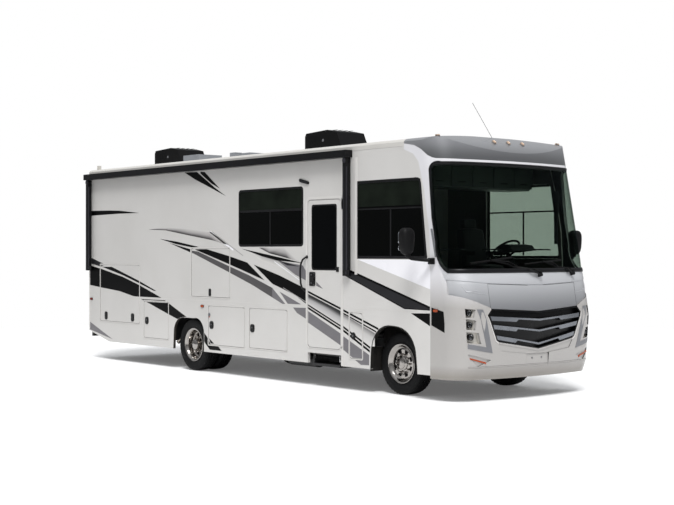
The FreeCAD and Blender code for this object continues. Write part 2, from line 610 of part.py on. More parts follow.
def build_cab():
    profile = [(760.0, 1600.0), (1180.0, 1640.0), (1180.0, 1400.0), (960.0, 1200.0), (960.0, FLOOR_Z),
               (920.0, FLOOR_Z), (920.0, 1220.0), (800.0, 1380.0)]
    corner = HALF_W - DASH_CORNER_INSET
    plan = plan_prism((500.0, -INNER_W + 8), [(1000.0, -INNER_W + 8), (1180.0, -corner), (1180.0, corner),
                      (1000.0, INNER_W - 8), (500.0, INNER_W - 8)], FLOOR_Z - 1, 1700.0)
    dash = side_prism(profile[0], profile[1:], -INNER_W, INNER_W).common(plan)
    s = STEER
    a = math.radians(s["tilt"])
    axis = V(-math.sin(a), 0, math.cos(a))
    centre = V(ax(s["x"]), s["y"], s["z"])
    column = Part.makeCylinder(32.0, 565.7, centre - axis * 600.0, axis)
    save("dashboard", fuse([dash, column, block(500.0, 900.0, s["y"] - 60, s["y"] + 60, 1420.0, 1560.0)]))
    ring = Part.makeTorus(s["r"] - 15.0, 15.0, centre, axis)
    hub = Part.makeCylinder(75.0, 36.0, centre - axis * 34.0, axis)
    spokes = [ring, hub]
    for k in range(3):
        b = math.radians(90.0 + 120.0 * k)
        side_dir = V(0, 1, 0) * math.cos(b) + axis.cross(V(0, 1, 0)) * math.sin(b)
        start = centre + side_dir * 50.0 - axis * 8.0
        spokes.append(Part.makeCylinder(14.0, s["r"] - 15.0 - 50.0, start, side_dir))
    save("steering_wheel", fuse(spokes))
    seats = []
    for _, side in SIDES:
        y = side * (HALF_W - SEAT_INSET)
        seats.append(fuse([
            block(-330.0, 60.0, y - 200, y + 200, FLOOR_Z, 1430.0),
            block(-400.0, 150.0, y - 270, y + 270, 1430.0, 1590.0),
            side_prism((-400.0, 1590.0), [(-250.0, 1590.0), (-400.0, 2200.0), (-520.0, 2200.0)],
                       y - 260, y + 260),
            side_prism((-415.0, 2200.0), [(-425.0, 2400.0), (-525.0, 2400.0), (-515.0, 2200.0)],
                       y - 140, y + 140)]))
    save("cab_seats", seats)
    steps = [(180.0, 2780.0), (250.0, 2900.0), (250.0, WALL_TOP), (-250.0, WALL_TOP)]
    cabinet = side_prism((-250.0, 2780.0), steps, -INNER_W, INNER_W)
    save("overhead_cabinet", cabinet)


# ---- chassis -----------------------------------------------------------------------------------------
FRAME_FRONT = 1200.0
FRAME_REAR_INSET = 60.0
CROSSMEMBERS = (from_rear_axle(-3050.0), from_rear_axle(-1974.0), from_rear_axle(-1074.0),
                -3700.0, -2300.0, -900.0, 1050.0)
CROSSMEMBER_HALF = 35.0
CROSSMEMBER_DROP = (150.0, 90.0)
WEB_Y = RAIL_Y - RAIL_T
RAIL_LOW = RAIL_TOP - RAIL_H

# the receiver hitch: its tube, the square hole for the drawbar and the hole for the pin
HITCH_X = REAR_END + 130.0
HITCH_PIN_X = REAR_END + 85.0
HITCH_Z = 440.0
HITCH_HALF = 38.0
HITCH_BORE_HALF = 25.6
HITCH_PIN_R = 8.1
HITCH_STAY_Y = (200.0, 300.0)
BUMPER_T = 60.0

ENGINE = (-150.0, 850.0, -300.0, 300.0, 560.0, 1040.0)
GEARBOX = (-1390.0, -150.0, -160.0, 160.0, 580.0, 900.0)
ENGINE_MOUNT = {"x0": 300.0, "x1": 420.0, "y": 299.0, "z0": 930.0, "z1": 980.0, "clear": 0.3}

# the front axle's beam and the fork at each end that holds the steering knuckle
BEAM = {"half": 45.0, "end_in": 90.0, "z0": 330.0, "z1": 400.0}
FORK_BACK = {"half": 40.0, "y0": -100.0, "y1": -50.0, "z0": 324.0, "z1": 514.0}
FORK_ARMS = ((484.0, 514.0), (324.0, 354.0))
FORK_ARM = {"half": 28.0, "y0": -100.0, "y1": 30.0}

AXLE_TUBE_R = 62.0
SPINDLE_R = 48.0
DIFFERENTIAL_R = 185.0
DRIVESHAFT_R = 45.0
DRIVESHAFT_FRONT = (-1398.0, 0, 700.0)

# leaf springs: middle x, height of the leaf's underside there, half length
SPRINGS = ((0.0, 408.0, 640.0), (REAR_AXLE, TYRE_R + 70.0, 700.0))
LEAF_DEPTH = 40.0

PIPE_R = 32.0
PIPE_Y = 240.0
PIPE_START = -150.3
MUFFLER = (-3600.0, -3000.0, 160.0, 330.0, 640.0, 800.0)
TAILPIPE_INSET_BEND = 282.5
TAILPIPE_INSET = 102.5

PROPANE = {"x": -2470.0, "length": 640.0, "r": 100.0, "z": 340.0, "inset": 282.5, "strap_half": 50.0}
FUEL_X = from_rear_axle(-1274.0)
FUEL_TANK = (FUEL_X, FUEL_X + 650.0, -340.0, 340.0, 480.0, 845.0)
WASTE_TANK = (-4350.0, -3680.0, -340.0, 150.0, 600.0, RAIL_TOP - CROSSMEMBER_DROP[0])


def build_frame():
    rails = []
    x0, x1 = REAR_END + FRAME_REAR_INSET, FRAME_FRONT
    for _, side in SIDES:
        pieces = [block(x0, x1, side * RAIL_Y, side * WEB_Y, RAIL_LOW, RAIL_TOP)]
        for z in (RAIL_TOP - RAIL_T, RAIL_LOW):
            pieces.append(block(x0, x1, side * RAIL_Y, side * (RAIL_Y - RAIL_FLANGE), z, z + RAIL_T))
        rails.append(fuse(pieces))
    save("chassis_rails", rails)
    half = CROSSMEMBER_HALF
    low, high = (RAIL_TOP - drop for drop in CROSSMEMBER_DROP)
    save("crossmembers", [block(x - half, x + half, -WEB_Y, WEB_Y, low, high) for x in CROSSMEMBERS])


def build_hitch():
    half, hole = HITCH_HALF, HITCH_BORE_HALF
    low, high = HITCH_Z - half, HITCH_Z + half
    back = HITCH_X + 2 * half
    parts = [block(HITCH_X, back, -WEB_Y, WEB_Y, low, high),
             block(REAR_END + 5, REAR_END + 320, -half, half, low, high)]
    for _, side in SIDES:
        parts.append(block(HITCH_X, back, side * WEB_Y, side * (WEB_Y - RAIL_T), low, RAIL_LOW))
        stay_in, stay_out = HITCH_STAY_Y
        parts.append(block(REAR_END + BUMPER_T, HITCH_X, side * stay_in, side * stay_out, HITCH_Z + 15, high))
    bore = block(REAR_END, REAR_END + 330, -hole, hole, HITCH_Z - hole, HITCH_Z + hole)
    pin = rod_y(HITCH_PIN_X, HITCH_Z, HITCH_PIN_R, -100.0, 100.0)
    save("tow_hitch", fuse(parts).cut(bore).cut(pin))


def build_engine():
    m = ENGINE_MOUNT
    mounts = [block(m["x0"], m["x1"], side * m["y"], side * (WEB_Y - m["clear"]), m["z0"], m["z1"])
              for _, side in SIDES]
    save("engine", fuse([block(*ENGINE), block(*GEARBOX)] + mounts))


def build_axles():
    b, back, arm = BEAM, FORK_BACK, FORK_ARM
    beam_y = KINGPIN_Y - b["end_in"]
    parts = [block(-b["half"], b["half"], -beam_y, beam_y, b["z0"], b["z1"])]
    for _, side in SIDES:
        y0, y1 = side * (KINGPIN_Y + back["y0"]), side * (KINGPIN_Y + back["y1"])
        parts.append(block(-back["half"], back["half"], y0, y1, back["z0"], back["z1"]))
        y0, y1 = side * (KINGPIN_Y + arm["y0"]), side * (KINGPIN_Y + arm["y1"])
        parts += [block(-arm["half"], arm["half"], y0, y1, z0, z1) for z0, z1 in FORK_ARMS]
    save("front_axle", fuse(parts))
    inner_y = REAR_OUTER_Y - DUAL_SPACING
    tube_y = inner_y - TYRE_W / 2.0 - 20.0
    housing = [rod_y(REAR_AXLE, TYRE_R, AXLE_TUBE_R, -tube_y, tube_y),
               Part.makeSphere(DIFFERENTIAL_R, V(ax(REAR_AXLE), 0, TYRE_R))]
    for _, side in SIDES:
        housing.append(rod_y(REAR_AXLE, TYRE_R, SPINDLE_R, side * tube_y, side * (inner_y + 60)))
    housing.append(bar((REAR_AXLE, 0, TYRE_R), DRIVESHAFT_FRONT, DRIVESHAFT_R))
    save("rear_axle", fuse(housing))


def build_springs():
    springs = []
    low, high = RAIL_LOW - LEAF_DEPTH, RAIL_LOW
    for centre, z, reach in SPRINGS:
        for _, side in SIDES:
            y0, y1 = side * (RAIL_Y - 70), side * (RAIL_Y + 5)
            leaf = side_prism((centre - reach, low),
                              [(centre, z, centre + reach, low), (centre + reach, high),
                               (centre, z + LEAF_DEPTH, centre - reach, high)], y0, y1)
            pad = block(centre - 60, centre + 60, y0, y1, z - 8.0, z + 45)
            springs.append(fuse([leaf, pad]))
    save("leaf_springs", springs)


def build_exhaust():
    x0, x1, y0, y1, z0, z1 = MUFFLER
    muffler = side_prism((x0, z0), [(x1, z0), (x1, z1), (x0, z1)], y0, y1)
    over, behind, aft = from_rear_axle(726.0), from_rear_axle(-324.0), from_rear_axle(-544.0)
    route = ((x0 + 10.0, PIPE_Y, 720.0), (over, PIPE_Y, 760.0), (behind, PIPE_Y, 760.0), (aft, PIPE_Y, 600.0),
             (aft, TAILPIPE_INSET_BEND - HALF_W, 560.0), (aft, TAILPIPE_INSET - HALF_W, 420.0))
    pipe = [bar((PIPE_START, PIPE_Y, 720.0), (x1 - 10.0, PIPE_Y, 720.0), PIPE_R)]
    pipe += [bar(p, q, PIPE_R) for p, q in zip(route, route[1:])]
    pipe += [Part.makeSphere(PIPE_R, V(ax(x), y, z)) for x, y, z in route[1:-1]]
    hanger = block(-3715.0, -3685.0, PIPE_Y - 10.0, PIPE_Y + 10.0, 740.0, RAIL_TOP - CROSSMEMBER_DROP[0])
    save("exhaust", fuse([muffler, hanger] + pipe))


def build_tanks():
    p = PROPANE
    y = p["inset"] - HALF_W
    y0, y1 = y - p["strap_half"], y + p["strap_half"]
    bottle = Part.makeCylinder(p["r"], p["length"], V(ax(p["x"]), y, p["z"]), V(1, 0, 0))
    locker_low = 460.0 - LOCKER_CLEAR - LOCKER_WALL
    straps = [block(-2450.0, -2410.0, y0, y1, p["z"], locker_low),
              block(-1890.0, -1850.0, y0, y1, p["z"], RAIL_TOP)]
    hanger = block(FUEL_X, FUEL_X + 40.0, -420.0, 420.0, 820.0, RAIL_LOW)
    save("underfloor_tanks", [fuse([bottle] + straps), fuse([block(*FUEL_TANK), hanger]), block(*WASTE_TANK)])


def wheel_profile(outward):
    """Rim outline in distance from the tyre's middle plane and radius; outward is the dish's place."""
    half = RIM_W / 2.0
    return [(-half, RIM_FLANGE_R), (-half + 12, RIM_FLANGE_R), (-half + 14, BEAD_R),
            (-half + 50, BEAD_R - 22),
            (half - 50, BEAD_R - 22), (half - 14, BEAD_R), (half - 12, RIM_FLANGE_R), (half, RIM_FLANGE_R),
            (half, BEAD_R - 10), (half - 40, BEAD_R - 32), (outward + 14, BEAD_R - 32), (outward + 14, 60.0),
            (outward, 60.0), (outward, BEAD_R - 32), (-half + 40, BEAD_R - 32), (-half, BEAD_R - 10)]


def spin(points, x, y_mid, side):
    """Turn an outline of (distance outward, radius) about the wheel's axle."""
    z = TYRE_R
    q = [V(ax(x), y_mid + side * d, z + r) for d, r in points]
    edges = [Part.LineSegment(q[i], q[(i + 1) % len(q)]).toShape() for i in range(len(q))]
    solid = Part.Face(Part.Wire(edges)).revolve(V(ax(x), 0, z), V(0, 1, 0), 360)
    return Part.makeSolid(solid) if solid.ShapeType != "Solid" else solid


def tyre(x, y_mid, side):
    w = TYRE_W / 2.0
    bead = RIM_W / 2.0 - 14.5
    pts = [(-bead, BEAD_R + 0.5), (bead, BEAD_R + 0.5), (bead, RIM_FLANGE_R + 4), (w - 8, RIM_FLANGE_R + 30),
           (w, TYRE_R - 70), (w - 10, TYRE_R - 22), (w - 30, TYRE_R), (-w + 30, TYRE_R),
           (-w + 10, TYRE_R - 22), (-w, TYRE_R - 70), (-w + 8, RIM_FLANGE_R + 30), (-bead, RIM_FLANGE_R + 4)]
    inner = [(-bead + 16, BEAD_R + 14), (bead - 16, BEAD_R + 14), (w - 14, TYRE_R - 80),
             (w - 34, TYRE_R - 24), (-w + 34, TYRE_R - 24), (-w + 14, TYRE_R - 80)]
    return spin(pts, x, y_mid, side).cut(spin(inner, x, y_mid, side))


def build_wheels():
    for name, side in (("left", 1), ("right", -1)):
        y = side * FRONT_WHEEL_Y
        save("front_tyre_%s" % name, tyre(0.0, y, side))
        rim = spin(wheel_profile(30.0), 0.0, y, side)
        hub = rod_y(0.0, TYRE_R, 92.0, y - side * 60, y + side * 44)
        nose = rod_y(0.0, TYRE_R, 62.0, y + side * 44, y + side * 104)
        spindle_hole = rod_y(0.0, TYRE_R, 29.9, y - side * 61, y + side * 20)
        save("front_rim_%s" % name, fuse([rim, hub, nose]).cut(spindle_hole))
        pin_y = side * KINGPIN_Y
        knuckle = [Part.makeCylinder(34.0, 129.4, V(ax(0), pin_y, 354.3), V(0, 0, 1)),
                   rod_y(0.0, TYRE_R, 29.5, pin_y, y + side * 10),
                   rod_y(0.0, TYRE_R, 60.0, pin_y, pin_y + side * 60)]
        save("steering_knuckle_%s" % name, fuse(knuckle))
        outer_y = side * REAR_OUTER_Y
        inner_y = side * (REAR_OUTER_Y - DUAL_SPACING)
        save("rear_tyres_%s" % name, [tyre(REAR_AXLE, outer_y, side), tyre(REAR_AXLE, inner_y, side)])
        rims = [spin(wheel_profile(-DUAL_SPACING / 2.0 + 40.0 + 25.0), REAR_AXLE, outer_y, side),
                spin(wheel_profile(DUAL_SPACING / 2.0 - 40.0 - 15.0), REAR_AXLE, inner_y, side)]
        drum = rod_y(REAR_AXLE, TYRE_R, 105.0, inner_y - side * 20, outer_y - side * 20)
        spindle = rod_y(REAR_AXLE, TYRE_R, 48.4, inner_y - side * 30, inner_y + side * 70)
        save("rear_rims_%s" % name, fuse(rims + [drum]).cut(spindle))


# ---- roof and outside fittings -----------------------------------------------------------------------
AIR_CONDITIONERS = (-7150.0, -2678.0)
# vents: x, y, length, width, height
VENTS = ((-6050.0, -250.0, 480.0, 480.0, 130.0),
         (-5400.0, 0.0, 150.0, 150.0, 150.0),
         (-4980.0, 60.0, 480.0, 480.0, 110.0))


def roof_height(y):
    """Top of the crowned roof at y, from its arc."""
    w, _, shoulder, top, side_top, _ = roof_section(0.0)
    rise = top - side_top
    half = w - shoulder
    radius = (half ** 2 + rise ** 2) / (2.0 * rise)
    return top - radius + math.sqrt(radius ** 2 - y ** 2)


def build_roof_fittings():
    units = []
    for x in AIR_CONDITIONERS:
        low = roof_height(270.0)
        steps = [(x + 450, low - 20), (x + 450, low + 40), (x + 330, low + 280),
                 (x + 100, low + 325), (x - 420, low + 300), (x - 450, low + 250)]
        body = side_prism((x - 450, low - 20), steps, -270.0, 270.0)
        units.append(body.cut(roof_prism(0.0, 0.0, x - 600, x + 600)))
    save("roof_air_conditioners", units)
    vents = []
    for x, y, length, width, height in VENTS:
        low = roof_height(abs(y) + width / 2.0)
        vent = block(x - length / 2, x + length / 2, y - width / 2, y + width / 2,
                     low - 20, roof_height(y) + height)
        vents.append(vent.cut(roof_prism(0.0, 0.0, x - 600, x + 600)))
    save("roof_vents", vents)
    save("radio_antenna", fuse([bar((690.0, 0.0, 3380.0), (273.0, 0.0, 3949.0), 3.0),
                                bar((700.0, 0.0, 3360.0), (660.0, 0.0, 3422.0), 11.0)]).cut(cap_body(0.0)))


def build_outside():
    y0, y1 = -HALF_W, -HALF_W - 118.0
    case = side_prism((REAR_END, 3205.0), [(-760.0, 3205.0), (-760.0, 3305.0), (REAR_END, 3305.0)], y0, y1)
    arms = [block(x, x + 90.0, -HALF_W, -HALF_W - 70.0, 1580.0, 3205.0) for x in (REAR_END, -890.0)]
    save("awning", fuse([case] + arms))
    mirrors = fuse([block(570.0, 720.0, -HALF_W - 437.5, -HALF_W - 217.5, 1840.0, 2220.0),
                    bar((640.0, -HALF_W - 317.5, 1850.0), (700.0, -HALF_W - 277.5, 1775.0), 16.0),
                    bar((700.0, -HALF_W - 277.5, 1775.0), (850.0, -HALF_W - 16.0, 1790.0), 16.0),
                    block(810.0, 890.0, -HALF_W - 0.3, -HALF_W - 25.0, 1745.0, 1835.0)])
    save("mirrors", both_sides(mirrors))
    bumper = block(REAR_END, REAR_END + BUMPER_T, -HALF_W + 60.0, HALF_W - 60.0, 395.0, 485.0)
    hitch_gap = block(REAR_END - 1, REAR_END + BUMPER_T + 1, -45, 45, 390.0, HITCH_Z + 42)
    save("rear_bumper", bumper.cut(hitch_gap))


build_walls()
build_floor()
build_lockers()
build_entry()
build_windows()
build_slide_out()
build_cap()
build_cab()
build_frame()
build_hitch()
build_engine()
build_axles()
build_springs()
build_exhaust()
build_tanks()
build_wheels()
build_roof_fittings()
build_outside()
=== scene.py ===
import math

import bmesh
import bpy
from mathutils import Matrix, Vector
from mathutils.bvhtree import BVHTree


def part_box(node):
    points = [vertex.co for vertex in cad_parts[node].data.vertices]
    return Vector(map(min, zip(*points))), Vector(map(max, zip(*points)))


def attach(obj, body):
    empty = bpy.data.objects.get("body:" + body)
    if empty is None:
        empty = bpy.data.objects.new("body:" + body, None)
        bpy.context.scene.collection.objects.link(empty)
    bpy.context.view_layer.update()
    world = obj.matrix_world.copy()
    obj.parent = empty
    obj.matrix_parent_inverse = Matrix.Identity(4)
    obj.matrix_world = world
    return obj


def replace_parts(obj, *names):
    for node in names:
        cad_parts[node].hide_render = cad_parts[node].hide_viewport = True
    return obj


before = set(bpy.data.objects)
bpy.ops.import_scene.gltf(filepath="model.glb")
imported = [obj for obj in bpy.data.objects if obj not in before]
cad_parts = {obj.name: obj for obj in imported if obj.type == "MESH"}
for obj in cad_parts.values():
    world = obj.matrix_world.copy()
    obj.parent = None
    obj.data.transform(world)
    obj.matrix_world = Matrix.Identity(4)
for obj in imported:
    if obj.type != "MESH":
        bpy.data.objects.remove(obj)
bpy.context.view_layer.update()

# ---- camera --------------------------------------------------------------------------------------
# A long lens off the curb-side front corner, at the height of the windshield's lower edge. It looks
# level along the coach's diagonal.
lens = bpy.data.cameras.new("camera")
lens.lens = 70.07
lens.sensor_width = 36.0
camera = bpy.data.objects.new("camera", lens)
bpy.context.scene.collection.objects.link(camera)
camera.location = (16.385, -12.781, 1.896)
camera.rotation_mode = "QUATERNION"
camera.rotation_quaternion = Vector((-0.7757, 0.6311, 0.0003)).to_track_quat("-Z", "Y")
bpy.context.scene.camera = camera
bpy.context.scene.view_settings.view_transform = "Standard"


# ---- studio --------------------------------------------------------------------------------------
# A seamless white floor under an even white sky, with one large soft lamp high in front.
# The floor shows white and keeps the coach's own shadow.
def linear(hexcode):
    """An sRGB hex colour as linear RGBA."""
    parts = [int(hexcode[i:i + 2], 16) / 255.0 for i in (0, 2, 4)]
    return [c / 12.92 if c <= 0.04045 else ((c + 0.055) / 1.055) ** 2.4 for c in parts] + [1.0]


def add(tree, kind, sockets=None, **settings):
    """Adds a shader node; sockets maps an input to a value, a node or another node's output."""
    made = tree.nodes.new("ShaderNode" + kind)
    for key, value in settings.items():
        setattr(made, key, value)
    for key, value in (sockets or {}).items():
        if isinstance(value, bpy.types.Node):
            value = value.outputs[0]
        if isinstance(value, bpy.types.NodeSocket):
            tree.links.new(value, made.inputs[key])
        else:
            made.inputs[key].default_value = value
    return made


def blank_material(name):
    """A new material with an empty tree, and its output node."""
    made = bpy.data.materials.new(name)
    made.use_nodes = True
    made.node_tree.nodes.clear()
    return made, made.node_tree, made.node_tree.nodes.new("ShaderNodeOutputMaterial")


def seen_rays(tree):
    """1 for the rays that show the backdrop itself: camera rays and rays through glass."""
    rays = add(tree, "LightPath")
    return add(tree, "Math", {0: rays.outputs["Is Camera Ray"], 1: rays.outputs["Is Transmission Ray"]},
               operation="MAXIMUM")


world = bpy.data.worlds.new("white studio")
bpy.context.scene.world = world
world.use_nodes = True
tree = world.node_tree
tree.nodes.clear()
climb = add(tree, "SeparateXYZ", {0: add(tree, "TexCoord").outputs["Generated"]}).outputs[2]
level = add(tree, "MapRange", {0: climb, 1: 0.02, 2: 0.90, 3: 0.24, 4: 0.85})
sky_light = add(tree, "Background", {"Color": linear("f2f4f7"), "Strength": level})
sky_seen = add(tree, "Background", {"Color": linear("ffffff"), "Strength": 1.0})
sky = add(tree, "MixShader", {0: seen_rays(tree), 1: sky_light, 2: sky_seen})
add(tree, "OutputWorld", {"Surface": sky})

floor_mesh = bpy.data.meshes.new("floor")
floor_mesh.from_pydata([(-14, -14, 0), (17, -14, 0), (17, 14, 0), (-14, 14, 0)], [], [(0, 1, 2, 3)])
floor = bpy.data.objects.new("floor", floor_mesh)
bpy.context.scene.collection.objects.link(floor)
# An even pale ground, on which the soft shadow under the coach stays readable
floor_paint, tree, out = blank_material("floor paint, matt white")
lit = add(tree, "BsdfDiffuse", {"Color": linear("f4f4f4")})
glow = add(tree, "Emission", {"Color": linear("ffffff"), "Strength": 0.12})
shown = add(tree, "AddShader", {0: lit, 1: glow})
mixed = add(tree, "MixShader", {0: seen_rays(tree), 1: lit, 2: shown})
tree.links.new(mixed.outputs[0], out.inputs["Surface"])
floor_mesh.materials.append(floor_paint)

sun = bpy.data.lights.new("key lamp, softbox", "SUN")
sun.energy = 2.75
sun.angle = math.radians(22.0)
sun_object = bpy.data.objects.new("key lamp, softbox", sun)
bpy.context.scene.collection.objects.link(sun_object)
sun_object.rotation_euler = Vector((-0.50, 0.42, -0.95)).to_track_quat("-Z", "Y").to_euler()


# ---- chassis -------------------------------------------------------------------------------------
# Pressed steel rails, crossmembers, axles and leaf springs, dipped in black chassis paint with road
# dust on it. The engine is cast iron, the exhaust is rolled aluminised steel, the tanks are moulded.
def grainy(name, colour, dark, rough, mottle_mm, grain_mm, bump, metal=0.0, shine=0.5):
    """A material whose colour drifts to dark over mottle_mm, with a grain of grain_mm raised by bump."""
    made, tree, out = blank_material(name)
    place = add(tree, "TexCoord").outputs["Object"]
    drift = add(tree, "TexNoise", {"Vector": place, "Scale": 1000.0 / mottle_mm, "Detail": 4.0})
    tint = add(tree, "Mix", {0: drift, 6: linear(colour), 7: linear(dark)}, data_type="RGBA").outputs[2]
    grain = add(tree, "TexNoise", {"Vector": place, "Scale": 1000.0 / grain_mm, "Detail": 2.0})
    worn = add(tree, "MapRange", {0: drift, 1: 0.3, 2: 0.7, 3: rough * 0.85, 4: min(1.0, rough * 1.2)})
    lift = add(tree, "Bump", {"Height": grain, "Strength": bump, "Distance": grain_mm / 4000.0})
    body = add(tree, "BsdfPrincipled", {"Base Color": tint, "Roughness": worn, "Normal": lift,
                                        "Metallic": metal, "Specular IOR Level": shine})
    tree.links.new(body.outputs[0], out.inputs["Surface"])
    return made


def finish_node(name, made):
    """Gives a CAD node one material."""
    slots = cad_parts[name].data.materials
    slots.clear()
    slots.append(made)


# Dull black, browned in broad patches by road dust
chassis_paint = grainy("chassis paint, dipped black", "1b1b1c", "2c2a27", 0.55, 300.0, 6.0, 0.3)
# Dark brown-grey metal with a coarse skin and hardly any gleam
cast_iron = grainy("cast iron, sand cast", "3a3836", "2a2725", 0.7, 120.0, 5.0, 0.5, 0.6)
# Pale metal that heat has turned brown in places
exhaust_steel = grainy("aluminised steel, rolled", "8a8680", "5d564e", 0.42, 180.0, 8.0, 0.2, 1.0)
# Near-black and waxy, with a fine grain
tank_plastic = grainy("polyethylene, rotomoulded", "222324", "303030", 0.6, 200.0, 5.0, 0.3)
for name in ("chassis_rails", "crossmembers", "tow_hitch", "front_axle", "rear_axle", "leaf_springs",
             "rear_bumper", "step_housing"):
    finish_node(name, chassis_paint)
for name in ("engine", "steering_knuckle_left", "steering_knuckle_right"):
    finish_node(name, cast_iron)
finish_node("exhaust", exhaust_steel)
finish_node("underfloor_tanks", tank_plastic)


# ---- wheels --------------------------------------------------------------------------------------
# Six radial tyres with four tread grooves and cut shoulders, on steel rims under polished
# stainless covers: a round lip, a dished face with eight hand holes, ten lug covers and a hub cap.
def piece(name, mesh, body, *materials, sharp=35.0):
    """Makes an object from mesh data, smooth but for its sharp edges, riding on a body."""
    if isinstance(mesh, bmesh.types.BMesh):
        filled = bpy.data.meshes.new(name)
        mesh.to_mesh(filled)
        mesh.free()
        mesh = filled
    made = bpy.data.objects.new(name, mesh)
    bpy.context.scene.collection.objects.link(made)
    for material in materials:
        mesh.materials.append(material)
    mesh.polygons.foreach_set("use_smooth", [True] * len(mesh.polygons))
    mesh.set_sharp_from_angle(angle=math.radians(sharp))
    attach(made, body)
    return made


def lathe(form, profile, centre, side, steps, closed=True):
    """Turns an outline of (distance outward, radius) about an axle along y."""
    rings = []
    for k in range(steps):
        a = 2.0 * math.pi * k / steps
        across, up = math.sin(a), math.cos(a)
        rings.append([form.verts.new((centre[0] + r * across, centre[1] + side * d, centre[2] + r * up))
                      for d, r in profile])
    count = len(profile)
    for here, there in zip(rings, rings[1:] + rings[:1]):
        for i in range(count if closed else count - 1):
            j = (i + 1) % count
            corners = [here[i], here[j], there[j], there[i]]
            form.faces.new(corners if side > 0 else corners[::-1])
    return rings


# Near-black rubber with a film of dust, too matt for a clear highlight
tyre_rubber, tree, out = blank_material("tyre rubber, moulded")
place = add(tree, "TexCoord").outputs["Object"]
dust = add(tree, "TexNoise", {"Vector": place, "Scale": 9.0, "Detail": 6.0})
tint = add(tree, "Mix", {0: dust, 6: linear("08090a"), 7: linear("111112")}, data_type="RGBA").outputs[2]
grain = add(tree, "TexNoise", {"Vector": place, "Scale": 260.0, "Detail": 3.0})
lift = add(tree, "Bump", {"Height": grain, "Strength": 0.25, "Distance": 0.001})
body = add(tree, "BsdfPrincipled", {"Base Color": tint, "Roughness": 0.72, "Normal": lift,
                                    "Specular IOR Level": 0.22})
tree.links.new(body.outputs[0], out.inputs["Surface"])

# Bright metal that mirrors the floor and the sky
polished = grainy("stainless steel, polished", "b4b0ac", "97938f", 0.14, 60.0, 30.0, 0.1, 1.0)
# Painted shade: near-black with no gleam, for the shadowed depth behind the hand holes
rim_painted_shade = grainy("brake and hub shadow, cast", "15151a", "26221f", 0.75, 70.0, 4.0, 0.3)

TYRE_HALF = 0.124
GROOVE_FLOOR = 0.406
shoulder = [(-0.092, 0.2705), (-0.108, 0.29), (-0.119, 0.318), (-TYRE_HALF, 0.35), (-0.121, 0.382),
            (-0.114, 0.399), (-0.104, 0.411)]
tyre_outline = list(shoulder)
for middle, crown in ((-0.062, 0.416), (-0.021, 0.4185), (0.021, 0.4185), (0.062, 0.416)):
    tyre_outline += [(middle - 0.006, crown), (middle - 0.004, GROOVE_FLOOR),
                     (middle + 0.004, GROOVE_FLOOR), (middle + 0.006, crown)]
tyre_outline += [(-d, r) for d, r in reversed(shoulder)] + [(0.088, 0.252), (-0.088, 0.252)]


def build_tyre(form, centre, side):
    """A tyre with notched shoulders and three raised rings on its outer wall."""
    notch = 0.006
    for ring in lathe(form, tyre_outline, centre, side, 132)[::3]:
        for vert in ring[5:7] + ring[23:25]:
            vert.co -= notch * Vector((vert.co.x - centre[0], 0.0, vert.co.z - centre[2])).normalized()
    for ridge, reach in ((0.302, 0.1135), (0.345, 0.1245), (0.372, 0.1225)):
        bead = [(reach - 0.003, ridge - 0.004), (reach + 0.0005, ridge), (reach - 0.003, ridge + 0.004)]
        lathe(form, bead, centre, side, 96, closed=False)


def build_cover(form, centre, side, dish, front):
    """Polished cover: rim lip, sloping barrel, dished face with holes, lugs and hub."""
    def dished(*profile):
        return [(dish + d, r) for d, r in profile]

    lip = [(0.100, 0.262), (0.109, 0.266), (0.112, 0.260), (0.110, 0.250), (0.104, 0.239), (0.085, 0.2265)]
    barrel = [(0.078, 0.219)] if front else [(0.062, 0.2143)] + dished((0.014, 0.2138))
    lathe(form, lip + barrel + dished((0.008, 0.2115), (0.004, 0.205)), centre, side, 96, closed=False)
    holes, steps = 8, 128
    dish_face = dished((0.004, 0.205), (0.008, 0.197), (0.010, 0.184), (0.004, 0.138), (0.002, 0.112),
                       (0.012, 0.085))
    rings = []
    for k in range(steps):
        a = 2.0 * math.pi * k / steps
        across, up = math.sin(a), math.cos(a)
        rings.append([form.verts.new((centre[0] + r * across, centre[1] + side * d, centre[2] + r * up))
                      for d, r in dish_face])
    hole_ring, hole_steps = 2, range(4, 12)
    for k, (here, there) in enumerate(zip(rings, rings[1:] + rings[:1])):
        for i in range(len(dish_face) - 1):
            if i == hole_ring and k % (steps // holes) in hole_steps:
                continue
            corners = [here[i], here[i + 1], there[i + 1], there[i]]
            form.faces.new(corners if side < 0 else corners[::-1])
    if front:
        hub = dished((0.006, 0.094), (0.022, 0.090), (0.030, 0.078), (0.032, 0.067), (0.040, 0.063),
                     (0.043, 0.045), (0.0435, 0.001))
    else:
        hub = dished((0.010, 0.098), (0.060, 0.092), (0.112, 0.082), (0.120, 0.066), (0.122, 0.001))
    lathe(form, hub, centre, side, 64, closed=False)
    lugs, lug_circle = 10, 0.124
    lug = dished((0.000, 0.0155), (0.030, 0.0150), (0.036, 0.0120), (0.038, 0.001))
    for k in range(lugs):
        a = 2.0 * math.pi * (k + 0.5) / lugs
        spot = (centre[0] + lug_circle * math.sin(a), centre[1], centre[2] + lug_circle * math.cos(a))
        lathe(form, lug, spot, side, 12, closed=False)


